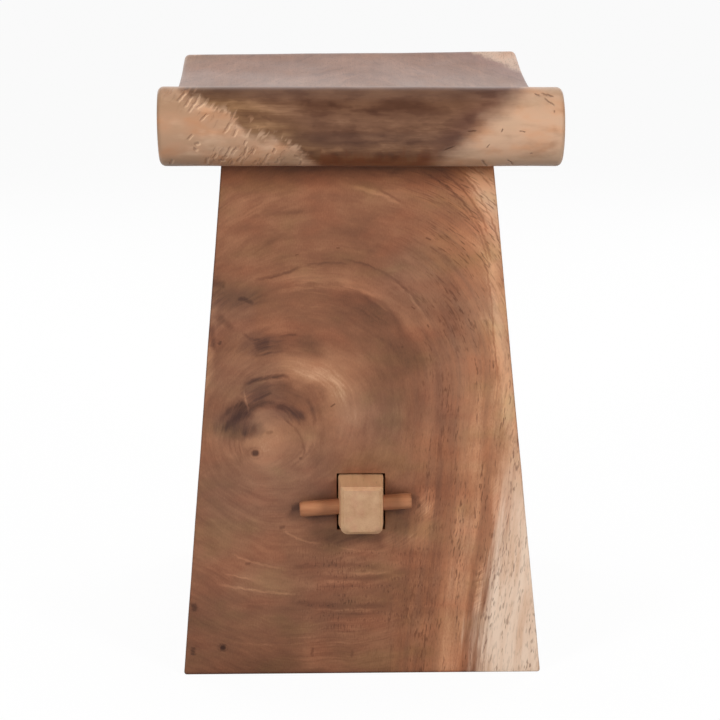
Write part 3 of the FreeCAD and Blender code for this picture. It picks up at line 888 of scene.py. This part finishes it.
def sap_cover(plank, seed):
    """1 where sapwood lies and 0 on heartwood."""
    spikes = dashes(plank.across, plank.height, plank.along / 60, 57, 9, 2.6, 0.0, seed + 21)
    edge = plank.inside + 1.5 * plank.streaks - 3.0 * (spikes * plank.across.fall(-60, -20))
    edge = edge + (2.5 * plank.long_streaks + 2.0 * plank.fibres) * (1.0 - plank.at_end)
    return (edge * (1.0 - 0.6 * plank.at_end * plank.across.rise(0, 70))).fall(-5, 4)


def seat_tears(plank, seed):
    """Torn patches, single tears and gouges, the tears' painted highlights, and pores along the sides and top.
    """
    x = plank.across + 0.5 * speckle(plank.across / 2.5, plank.along / 40, plank.height / 2.5, seed + 17)
    z = plank.height + 0.5 * speckle(plank.across / 2.5, plank.along / 40, plank.height / 2.5, seed + 19)
    by_wall = plank.inside.rise(-18, -6) * plank.inside.fall(-2, 5) * plank.across.fall(-90, -70)
    low = plank.height.fall(412, 420) * plank.across.rise(-118, -105) * plank.across.fall(-60, -42)
    torn = dashes(x, z, plank.along / 300, 57, 8, 1.8, 0.3, seed + 13)
    torn = torn * larger(by_wall * 0.5, low * 0.7) * plank.at_end
    single = larger(0.66 * marks(x, z, SEAT_TEARS), marks(x, z, SEAT_GOUGES)) * plank.at_front
    painted_lip_highlights = marks(x - 1.5, z + 0.8, SEAT_TEARS) * plank.at_front
    pores = dashes(plank.across, plank.along, plank.height / 0.9, 90, 9, 0.9, 0.25, seed + 15)
    return torn, single, painted_lip_highlights, pores * 0.45 * (1.0 - plank.at_end)


def seat_finish(name, seed):
    """The seat's whole finish: heartwood, sapwood over it, painted shade on the front's upper round, and what
    the plane tore.
    """
    finish, plank = seat_plank(name, seed)
    x, z = plank.across + 2.5 * plank.crumple, plank.height + 1.2 * plank.crumple
    drawn = plank.at_front * (0.9 + 0.5 * plank.streaks) * strokes(x, z, SEAT_STROKES)
    colour = heart_colour(plank, heart_tone(plank, drawn, seed), seed)
    colour = sap_cover(plank, seed).blend(colour, sap_colour(plank, drawn, seed))
    # Painted shade: the upper round of the front end is darkened.
    colour = (plank.at_front * plank.height.rise(432, 450)).blend(colour, NOSE_TOP_PAINTED_SHADE, "MULTIPLY")
    torn, single, painted_lip_highlights, pores = seat_tears(plank, seed)
    # Painted highlight: a pale lip beside each tear, where light would catch it.
    colour = (painted_lip_highlights * 0.5).blend(colour, TEAR_LIGHT)
    hollow = larger(larger(torn * 0.20, single * 0.50), pores)
    colour = hollow.blend(colour, PORE_DARK)
    relief = 0.02 * plank.streaks + 0.03 * plank.crumple * plank.at_end
    relief = relief - 0.55 * larger(torn, single) - 0.04 * pores
    close_finish(colour, SATIN - 0.10 + 0.04 * plank.bands, relief)
    return finish


seat_wood = seat_finish("seat_wood", 4.0)
print("seat finish:", len(seat_wood.node_tree.nodes), "nodes")

# %% [markdown]
# The stretcher, the pegs and the dowels are straight pale wood, with the grain along the piece. One finish
# serves them all: it is told which way the piece runs and its two colours. The ends of the grain soak up
# more oil, so faces that look along the piece are darker.

# %% Finish of the straight pieces
STRETCHER_LIGHT = paint(222, 177, 135)
STRETCHER_DARK = paint(196, 149, 108)
PEG_LIGHT = paint(180, 126, 90)
PEG_DARK = paint(141, 87, 57)
END_GRAIN = (0.72, 0.74, 0.79, 1.0)
ROSY = (0.97, 0.90, 0.92, 1.0)


def straight_finish(name, runs, light, dark, seed):
    """Wood whose grain runs along X, Y or Z."""
    finish, across, along, height = start_finish(name)
    stretch = {axis: 1.0 for axis in "XYZ"}
    stretch[runs] = 0.04
    x, y, z = across * stretch["X"], along * stretch["Y"], height * stretch["Z"]
    bands = speckle(x / 7, y / 7, z / 7, seed, 3.0, 0.6)
    streaks = speckle(x / 1.2, y / 1.2, z / 1.2, seed + 5, 2.0, 0.6)
    colour = (0.5 + 0.45 * bands + 0.14 * streaks).clip().blend(dark, light)
    hue = speckle(across / 9, along / 30, height / 9, seed + 3)
    colour = hue.rise(-0.2, 0.7).blend(colour, ROSY, "MULTIPLY")
    facing = across.node("SeparateXYZ", {}, {0: across.node("NewGeometry", {}, {}, "Normal")}, runs)
    colour = size_of(facing).rise(0.5, 0.9).blend(colour, END_GRAIN, "MULTIPLY")
    pores = speckle(x / 0.7, y / 0.7, z / 0.7, seed + 9).rise(0.6, 1.0)
    colour = (pores * 0.3).blend(colour, PORE_DARK)
    close_finish(colour, SATIN + 0.08 + 0.04 * bands, 0.03 * streaks - 0.05 * pores)
    return finish


stretcher_wood = straight_finish("stretcher_wood", "Y", STRETCHER_LIGHT, STRETCHER_DARK, 2.0)
peg_wood = straight_finish("peg_wood", "X", PEG_LIGHT, PEG_DARK, 6.0)
dowel_wood = straight_finish("dowel_wood", "Z", STRETCHER_LIGHT, STRETCHER_DARK, 9.0)
print("straight finishes:", stretcher_wood.name, peg_wood.name, dowel_wood.name)

# %% [markdown]
# From here on: the shapes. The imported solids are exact, and a hand-made stool is not: its flats swell and
# sink by tenths of a millimetre, its plank has dried with a slight twist, and its edges are eased. A
# modifier could roughen the solids, but their long thin faces would not bend. So each piece is built again
# from sheets of even faces that are joined where they meet, and the handwork is a small move of its points.

# %% Joining sheets into a piece
SEAM = 1e-6
CREASE = math.radians(40)
FLAT_FOOT = 12 * MM
WIND = 1.0 * MM
WIND_X = 149 * MM
WIND_Y = 225 * MM


def add_sheet(shape, rows):
    """Adds a sheet of four-sided faces through rows of points; a closed row ends on its first point."""
    made = [[shape.verts.new(point) for point in row] for row in rows]
    for lower, upper in zip(made, made[1:]):
        for k in range(len(lower) - 1):
            shape.faces.new((lower[k], lower[k + 1], upper[k + 1], upper[k]))


def close_shape(shape):
    """Joins the sheets where they meet and turns every face outwards."""
    bmesh.ops.remove_doubles(shape, verts=shape.verts, dist=SEAM)
    bmesh.ops.dissolve_degenerate(shape, edges=shape.edges, dist=SEAM)
    bmesh.ops.recalc_face_normals(shape, faces=shape.faces)


def hand_finish(shape, depth, reach, seed):
    """Lets faces swell and sink a little, as a hand plane and long use leave them; a foot stays flat."""
    shape.normal_update()
    moves = []
    for vert in shape.verts:
        swell = noise.noise(vert.co / reach + Vector((seed, seed, seed)))
        swell += 0.4 * noise.noise(vert.co / (reach * 0.3) + Vector((seed, 0, -seed)))
        off_floor = min(max(vert.co.z / FLAT_FOOT, 0.0), 1.0)
        moves.append(vert.normal * (swell * depth * off_floor))
    for vert, move in zip(shape.verts, moves):
        vert.co += move


def wind(shape, reach_z):
    """Twists a piece as drying wood does: its two ends lean apart, and a foot stays down."""
    for vert in shape.verts:
        twist = WIND * (vert.co.x / WIND_X) * (vert.co.y / WIND_Y)
        vert.co.z += twist * min(vert.co.z / reach_z, 1.0)


def finish_piece(shape, name, wood, body, node):
    """Turns a shape into a smooth piece with its wood, and sets it in the frame in place of its solid."""
    mesh = bpy.data.meshes.new(name)
    shape.to_mesh(mesh)
    open_edges = sum(1 for edge in shape.edges if not edge.is_manifold)
    shape.free()
    mesh.shade_smooth()
    mesh.set_sharp_from_angle(angle=CREASE)
    mesh.materials.append(wood)
    piece = bpy.data.objects.new(name, mesh)
    bpy.context.scene.collection.objects.link(piece)
    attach(piece, body)
    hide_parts(node)
    print(name, len(mesh.polygons), "faces,", open_edges, "open edges")
    return piece


print("the twist is", WIND / MM, "mm at a corner of the seat")

# %% [markdown]
# The seat is one thick plank. Seen from the side it is flat below, fully rounded at both ends and hollowed
# on top by one long arc that runs into both rounds. A block could be cut and bevelled to that, but a bevel
# fails where the arc meets the rounds. The side view is drawn at many places across instead, and smaller
# and smaller towards each rim, which gives the rounded edge. The sides lean in a little below, and the
# whole seat sits a fraction out of square on its legs.

# %% Seat
seat_low, seat_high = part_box("seat")
SADDLE_DIP = 20 * MM
RIM_ROUND = 4.5 * MM
SIDE_DRAFT = 0.0045
SIDE_LEAN = 0.5 * MM
SEAT_TURN = math.radians(0.23)
NOSE_STEPS = 16
SADDLE_STEPS = 90
SEAT_COLUMNS = 70
CAP_ROWS = 12
RIM_STEPS = 5
SEAT_SWELL = 0.35 * MM
SEAT_SWELL_REACH = 0.09
nose_radius = (seat_high.z - seat_low.z) / 2
nose_y = seat_high.y - nose_radius
saddle_radius = (nose_y ** 2 + SADDLE_DIP ** 2) / (2 * SADDLE_DIP) - nose_radius
saddle_z = seat_high.z - SADDLE_DIP + saddle_radius


def side_view(inset):
    """Upper and lower line of the seat's side view, drawn inside the true one by the inset."""
    radius = nose_radius - inset
    centre_z = seat_low.z + nose_radius
    turn_in = math.atan2(nose_y, saddle_z - centre_z)
    upper, lower = [], []
    for k in range(NOSE_STEPS):
        turn = (math.pi / 2 + turn_in) * k / NOSE_STEPS
        upper.append((-nose_y - radius * math.cos(turn), centre_z + radius * math.sin(turn)))
        turn = math.pi / 2 * k / NOSE_STEPS
        lower.append((-nose_y - radius * math.cos(turn), centre_z - radius * math.sin(turn)))
    for k in range(SADDLE_STEPS + 1):
        share = 2 * k / SADDLE_STEPS - 1
        turn = turn_in * share
        reach = saddle_radius + inset
        upper.append((reach * math.sin(turn), saddle_z - reach * math.cos(turn)))
        lower.append((nose_y * share, seat_low.z + inset))
    upper += [(-y, z) for y, z in reversed(upper[:NOSE_STEPS])]
    lower += [(-y, z) for y, z in reversed(lower[:NOSE_STEPS])]
    return upper, lower


def seat_stations():
    """Places across the seat, each with the inset of its side view: round rims, then even steps between."""
    half = seat_high.x
    left = [(-half, RIM_ROUND)]
    for k in reversed(range(RIM_STEPS)):
        turn = math.pi / 2 * k / RIM_STEPS
        left.append((-half + RIM_ROUND * (1 - math.sin(turn)), RIM_ROUND * (1 - math.cos(turn))))
    inner = half - RIM_ROUND
    middle = [(inner * (2 * k / SEAT_COLUMNS - 1), 0.0) for k in range(1, SEAT_COLUMNS)]
    return left + middle + [(-x, inset) for x, inset in reversed(left)]


shape = bmesh.new()
stations = [(x, *side_view(inset)) for x, inset in seat_stations()]
add_sheet(shape, [[(x, y, z) for y, z in upper] for x, upper, lower in stations])
add_sheet(shape, [[(x, y, z) for y, z in lower] for x, upper, lower in stations])
for x, upper, lower in (stations[0], stations[-1]):
    cap = []
    for row in range(CAP_ROWS + 1):
        share = row / CAP_ROWS
        cap.append([(x, y + (over_y - y) * share, z + (over_z - z) * share)
                    for (y, z), (over_y, over_z) in zip(lower, upper)])
    add_sheet(shape, cap)
close_shape(shape)
for vert in shape.verts:
    below = (seat_high.z - vert.co.z) / (seat_high.z - seat_low.z)
    vert.co.x = vert.co.x * (1.0 - SIDE_DRAFT * below) + SIDE_LEAN * below
shape.transform(Matrix.Rotation(SEAT_TURN, 4, "Z"))
hand_finish(shape, SEAT_SWELL, SEAT_SWELL_REACH, 2.0)
wind(shape, seat_low.z)
finish_piece(shape, "seat_plank", seat_wood, "stool_frame", "seat")

# %% [markdown]
# Each leg is a slab that widens to the floor, with a square mortise cut through it for the tenon. A cutter
# could make that hole, but it leaves long thin faces round it. Here the slab's face is a grid with lines
# along the mortise, and the faces inside the mortise are simply left out. Bevels then ease the edges, the
# foot's corners more.

# %% Legs
leg_low, leg_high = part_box("front_leg")
LEG_TOP_WIDTH = 206 * MM
LEG_EASED = 1.5 * MM
FOOT_CORNER = 2.4 * MM
LEFT_LEAN = (1.3 * MM, 0.0)
RIGHT_LEAN = (1.6 * MM, -2.4 * MM)
MORTISE_EASED = 0.35 * MM
MORTISE_WIDTH = 37.1 * MM
MORTISE_X = 0.8 * MM
MORTISE_FLOOR = 116 * MM
MORTISE_HEIGHT = 44.4 * MM
SIDE_COLUMNS = 20
MORTISE_COLUMNS = 6
LEG_ROW = 6 * MM
LEG_LAYERS = 8
LEG_SWELL = 0.3 * MM
LEG_SWELL_REACH = 0.08
CLEAR_ANGLE = 0.5
SQUARE_ANGLE = 1.2


def steps(start, end, count):
    """Evenly spaced places from start to just before end."""
    return [start + (end - start) * k / count for k in range(count)]


def leg_rows():
    """Heights of the leg's rows, with one at the floor and one at the top of the mortise."""
    stops = [0.0, MORTISE_FLOOR, MORTISE_FLOOR + MORTISE_HEIGHT, leg_high.z]
    rows = []
    for start, end in zip(stops, stops[1:]):
        rows += steps(start, end, round((end - start) / LEG_ROW))
    return rows + [leg_high.z]


def leg_columns(height):
    """Places across the leg at one height: edge to mortise, across it, and on to the other edge."""
    share = height / leg_high.z
    half = leg_high.x + (LEG_TOP_WIDTH / 2 - leg_high.x) * share
    left = -half + LEFT_LEAN[0] + (LEFT_LEAN[1] - LEFT_LEAN[0]) * share
    right = half + RIGHT_LEAN[0] + (RIGHT_LEAN[1] - RIGHT_LEAN[0]) * share
    side = MORTISE_WIDTH / 2
    places = steps(left, MORTISE_X - side, SIDE_COLUMNS)
    places += steps(MORTISE_X - side, MORTISE_X + side, MORTISE_COLUMNS)
    return places + steps(MORTISE_X + side, right, SIDE_COLUMNS) + [right]


def sharp_edges(shape, wanted):
    """Edges where two faces meet at a clear angle and whose middle is wanted."""
    found = []
    for edge in shape.edges:
        if len(edge.link_faces) == 2 and edge.calc_face_angle() > CLEAR_ANGLE:
            if wanted(edge, (edge.verts[0].co + edge.verts[1].co) / 2):
                found.append(edge)
    return found


def ease(shape, edges, radius, segments):
    """Rounds edges over by a radius."""
    bmesh.ops.bevel(shape, geom=edges, offset=radius, offset_type="OFFSET", segments=segments, profile=0.5,
                    affect="EDGES", clamp_overlap=True)


def leg_shape(seed):
    """A leg in the front one's place: two holed faces, four sides, the mortise's walls, eased edges."""
    shape = bmesh.new()
    heights = leg_rows()
    top = MORTISE_FLOOR + MORTISE_HEIGHT
    last = SIDE_COLUMNS * 2 + MORTISE_COLUMNS
    hole = slice(SIDE_COLUMNS, SIDE_COLUMNS + MORTISE_COLUMNS + 1)
    layers = steps(leg_low.y, leg_high.y, LEG_LAYERS) + [leg_high.y]

    def row(height, y):
        return [(x, y, height) for x in leg_columns(height)]

    for y in (leg_low.y, leg_high.y):
        for low, high in zip(heights, heights[1:]):
            lower, upper = row(low, y), row(high, y)
            beside = MORTISE_FLOOR - SEAM < low < top - SEAM
            runs = [(0, hole.start), (hole.stop - 1, last)] if beside else [(0, last)]
            for first, end in runs:
                add_sheet(shape, [lower[first:end + 1], upper[first:end + 1]])
    for height in (heights[0], heights[-1]):
        add_sheet(shape, [row(height, y) for y in layers])
    for column in (0, last):
        add_sheet(shape, [[row(height, y)[column] for height in heights] for y in layers])
    for height in (MORTISE_FLOOR, top):
        add_sheet(shape, [row(height, y)[hole] for y in layers])
    beside = [height for height in heights if MORTISE_FLOOR - SEAM < height < top + SEAM]
    for column in (hole.start, hole.stop - 1):
        add_sheet(shape, [[row(height, y)[column] for height in beside] for y in layers])
    close_shape(shape)

    def on_face(middle):
        return abs(middle.y - leg_low.y) < SEAM or abs(middle.y - leg_high.y) < SEAM

    def at_foot(edge, middle):
        return middle.z < SEAM and abs(edge.verts[0].co.y - edge.verts[1].co.y) > SEAM

    def round_mortise(edge, middle):
        level = MORTISE_FLOOR - SEAM < middle.z < top + SEAM
        return abs(middle.x) < MORTISE_WIDTH and level and on_face(middle)

    def outside(edge, middle):
        return on_face(middle) and middle.z < leg_high.z - SEAM and edge.calc_face_angle() > SQUARE_ANGLE

    ease(shape, sharp_edges(shape, at_foot), FOOT_CORNER, 4)
    ease(shape, sharp_edges(shape, round_mortise), MORTISE_EASED, 2)
    ease(shape, sharp_edges(shape, outside), LEG_EASED, 4)
    hand_finish(shape, LEG_SWELL, LEG_SWELL_REACH, seed)
    wind(shape, leg_high.z)
    return shape


finish_piece(leg_shape(5.0), "front_slab", front_leg_wood, "stool_frame", "front_leg")
shape = leg_shape(11.0)
shape.transform(Matrix.Rotation(math.pi, 4, "Z"))
finish_piece(shape, "rear_slab", rear_leg_wood, "stool_frame", "rear_leg")

# %% [markdown]
# The stretcher is a bar between the legs. At each end it is cut down to a tenon that goes through the leg,
# and the tip is whittled and bevelled by hand, with its lower corners rounded. Boxes could be joined to
# that form, but the taper and the rounded corners run into each other. So it is drawn as a row of closed
# outlines along its length, each with the same number of points, and one outline is joined to the next. The
# far half is the near one turned half way round.

# %% Stretcher
bar_low, bar_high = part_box("stretcher")
BAR_ROUND = 4.0 * MM
TENON_WIDTH = 34.5 * MM
TENON_TOP = 159 * MM
TENON_FLOOR = 116 * MM
TENON_LOWER_ROUND = 5.0 * MM
TENON_UPPER_ROUND = 1.0 * MM
TIP_WIDTH = 31.6 * MM
TIP_DROP = 1.2 * MM
TIP_RISE = 5.0 * MM
TIP_BEVEL = 2.4 * MM
CORNER_STEPS = 5
FLAT_STEPS = 8
BEVEL_SHARES = (1.0, 0.9, 0.55, 0.1, 0.0)
TAPER_START = 0.06
TAPER_STEPS = 8
TENON_STEPS = 5
BAR_STEPS = 20
CAP_SHARES = (0.0, 0.3, 0.6, 0.85)
BAR_SWELL = 0.25 * MM
BAR_SWELL_REACH = 0.05


def outline(y, half, bottom, top, lower_round, upper_round):
    """A closed outline across the stretcher: square, with its lower and its upper corners rounded."""
    corners = [(half, bottom, lower_round, -90), (half, top, upper_round, 0),
               (-half, top, upper_round, 90), (-half, bottom, lower_round, 180)]
    points = []
    for x, z, radius, start in corners:
        centre_x = x - math.copysign(radius, x)
        centre_z = z + radius if z == bottom else z - radius
        arc = []
        for k in range(CORNER_STEPS + 1):
            turn = math.radians(start + 90 * k / CORNER_STEPS)
            arc.append((centre_x + radius * math.cos(turn), centre_z + radius * math.sin(turn)))
        if points:
            points += between(points[-1], arc[0])
        points += arc
    points += between(points[-1], points[0])
    return [Vector((x, y, z)) for x, z in points]


def between(start, end):
    """Points along a straight side, without its ends."""
    (x, z), (end_x, end_z) = start, end
    shares = [k / FLAT_STEPS for k in range(1, FLAT_STEPS)]
    return [(x + (end_x - x) * share, z + (end_z - z) * share) for share in shares]


def tenon_outlines():
    """Outlines of the front tenon from its tip to its shoulder."""
    tip = bar_low.y
    tip_top, tip_floor = TENON_TOP - TIP_DROP, TENON_FLOOR + TIP_RISE
    rows = []
    for share in BEVEL_SHARES:
        cut = TIP_BEVEL * share
        forward = TIP_BEVEL * (1 - share)
        rows.append((tip + forward, TIP_WIDTH / 2 - cut, tip_floor + cut, tip_top - cut))
    for share in steps(TAPER_START, 1.0, TAPER_STEPS):
        rows.append((tip + TIP_BEVEL + (leg_low.y - tip - TIP_BEVEL) * share,
                     TIP_WIDTH / 2 + (TENON_WIDTH - TIP_WIDTH) / 2 * share,
                     tip_floor - TIP_RISE * share, tip_top + TIP_DROP * share))
    for y in steps(leg_low.y, leg_high.y, TENON_STEPS) + [leg_high.y]:
        rows.append((y, TENON_WIDTH / 2, TENON_FLOOR, TENON_TOP))
    return [outline(*row, TENON_LOWER_ROUND, TENON_UPPER_ROUND) for row in rows]


def lean_tip(ring):
    """Moves an outline of the tenon a little to the right, as its mortise is."""
    return [point + Vector((MORTISE_X, 0.0, 0.0)) for point in ring]


def end_cap(ring):
    """Smaller and smaller copies of an outline, down to its middle."""
    middle = sum(ring, Vector()) / len(ring)
    return [[middle + (point - middle) * share for point in ring] for share in CAP_SHARES]


def closed(ring):
    """An outline that ends on its first point."""
    return ring + ring[:1]


def bar_outlines():
    """Outlines of the bar from its shoulder to its middle."""
    places = steps(leg_high.y, 0.0, BAR_STEPS) + [0.0]
    return [outline(y, bar_high.x, bar_low.z, bar_high.z, BAR_ROUND, BAR_ROUND) for y in places]


def add_turned_half(shape):
    """Copies all that is there and turns the copy half way round, to make the far half."""
    copied = bmesh.ops.duplicate(shape, geom=shape.verts[:] + shape.edges[:] + shape.faces[:])["geom"]
    verts = [part for part in copied if isinstance(part, bmesh.types.BMVert)]
    bmesh.ops.rotate(shape, verts=verts, cent=(0, 0, 0), matrix=Matrix.Rotation(math.pi, 3, "Z"))


shape = bmesh.new()
front = [lean_tip(ring) for ring in tenon_outlines()]
add_sheet(shape, [closed(ring) for ring in end_cap(front[0]) + front + bar_outlines()])
add_turned_half(shape)
close_shape(shape)
hand_finish(shape, BAR_SWELL, BAR_SWELL_REACH, 21.0)
stretcher = finish_piece(shape, "stretcher_bar", stretcher_wood, "stool_frame",
                         "stretcher")

# %% [markdown]
# Each tenon has a bore for its peg, a little out of level. It shows when the peg is drawn, so it is a real
# hole. Outlines can't go round a crosswise hole, so a round cutter takes it out, and the cut is made for
# good, with no modifier left.

# %% Bores for the pegs
PEG_TILT = math.radians(4.2)
PEG_PLACE = Vector((0.0, -186.5 * MM, 137.5 * MM))
BORE_RADIUS = 6.28 * MM
BORE_LENGTH = 60 * MM
BORE_SIDES = 48


def bore_cutter():
    """A round cutter along each peg's slanting line."""
    shape = bmesh.new()
    bmesh.ops.create_cone(shape, cap_ends=True, segments=BORE_SIDES, depth=BORE_LENGTH, radius1=BORE_RADIUS,
                          radius2=BORE_RADIUS, matrix=Matrix.Rotation(math.pi / 2, 4, "Y"))
    shape.transform(Matrix.Translation(PEG_PLACE) @ Matrix.Rotation(-PEG_TILT, 4, "Y"))
    add_turned_half(shape)
    mesh = bpy.data.meshes.new("bore_cutter")
    shape.to_mesh(mesh)
    shape.free()
    cutter = bpy.data.objects.new("bore_cutter", mesh)
    bpy.context.scene.collection.objects.link(cutter)
    return cutter


def cut_away(piece, cutter):
    """Cuts the cutter's form out of the piece for good, and clears the cutter away."""
    cut = piece.modifiers.new("bores", "BOOLEAN")
    cut.operation = "DIFFERENCE"
    cut.solver = "EXACT"
    cut.object = cutter
    depsgraph = bpy.context.evaluated_depsgraph_get()
    cut_mesh = bpy.data.meshes.new_from_object(piece.evaluated_get(depsgraph))
    piece.modifiers.remove(cut)
    old_mesh = piece.data
    piece.data = cut_mesh
    bpy.data.meshes.remove(old_mesh)
    cut_mesh.name = piece.name
    cut_mesh.set_sharp_from_angle(angle=CREASE)
    cutter_mesh = cutter.data
    bpy.data.objects.remove(cutter)
    bpy.data.meshes.remove(cutter_mesh)


before = len(stretcher.data.polygons)
cut_away(stretcher, bore_cutter())
print("stretcher faces before and after boring:", before, len(stretcher.data.polygons))

# %% [markdown]
# A peg is a round stick, whittled with a knife: a little flattened here and there, and eased at its ends. A
# plain cylinder would look turned. Here each outline is a circle with shallow flats that wander along the
# peg, and the last few outlines close in to the middle. It lies along its bore, so it can slide out either
# way.

# %% Pegs
PEG_RADIUS = 6.2 * MM
PEG_LENGTH = 86 * MM
PEG_SHIFT = 3.4 * MM
PEG_SIDES = 36
PEG_FLATS = 9
PEG_STEPS = 40
PEG_STRAIGHT = 0.92
PEG_ENDS = [(1.0, 0.0), (1.0, 0.45), (1.0, 0.78), (0.985, 0.9), (0.96, 0.97)]
FLAT_DEPTH = 0.55
WANDER_DEPTH = 0.02


def peg_ring(place, radius, seed):
    """One outline of the whittled peg, which lies along X."""
    ring = []
    flat = 2 * math.pi / PEG_FLATS
    sway = 0.2 * noise.noise(Vector((place * 30, seed, 0)))
    for k in range(PEG_SIDES):
        turn = 2 * math.pi * k / PEG_SIDES
        past = (turn + sway) % flat - flat / 2
        cut = math.cos(flat / 2) / math.cos(past)
        wander = noise.noise(Vector((place * 45, 1.4 * math.cos(turn) + seed, 1.4 * math.sin(turn)))) - 0.6
        away = radius * (1 - FLAT_DEPTH + FLAT_DEPTH * cut + WANDER_DEPTH * wander)
        ring.append(Vector((place, away * math.cos(turn), away * math.sin(turn))))
    return ring


def peg_shape(seed):
    """A peg in the front one's place, along its slanting bore."""
    half = PEG_LENGTH / 2
    places = [(-half * reach, share) for reach, share in PEG_ENDS]
    places += [(place, 1.0) for place in steps(-half * PEG_STRAIGHT, half * PEG_STRAIGHT, PEG_STEPS)]
    places += [(half * reach, share) for reach, share in reversed(PEG_ENDS)]
    rings = [peg_ring(place, max(PEG_RADIUS * share, SEAM / 10), seed) for place, share in places]
    shape = bmesh.new()
    add_sheet(shape, [closed(ring) for ring in rings])
    close_shape(shape)
    along = Matrix.Translation(Vector((-PEG_SHIFT, 0.0, 0.0)))
    shape.transform(Matrix.Translation(PEG_PLACE) @ Matrix.Rotation(-PEG_TILT, 4, "Y") @ along)
    return shape


finish_piece(peg_shape(3.0), "front_locking_peg", peg_wood, "front_peg", "front_peg")
shape = peg_shape(8.0)
shape.transform(Matrix.Rotation(math.pi, 4, "Z"))
finish_piece(shape, "rear_locking_peg", peg_wood, "rear_peg", "rear_peg")

# %% [markdown]
# The dowels that hold the legs to the seat are plain turned pins, hidden in their holes. They could be made
# again like the pegs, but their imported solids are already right, so they stay as they are and only take a
# wood finish.

# %% Dowels
dowels = [node for name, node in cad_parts.items() if "dowel" in name]
for dowel in dowels:
    dowel.data.materials.clear()
    dowel.data.materials.append(dowel_wood)
print(len(dowels), "dowels")
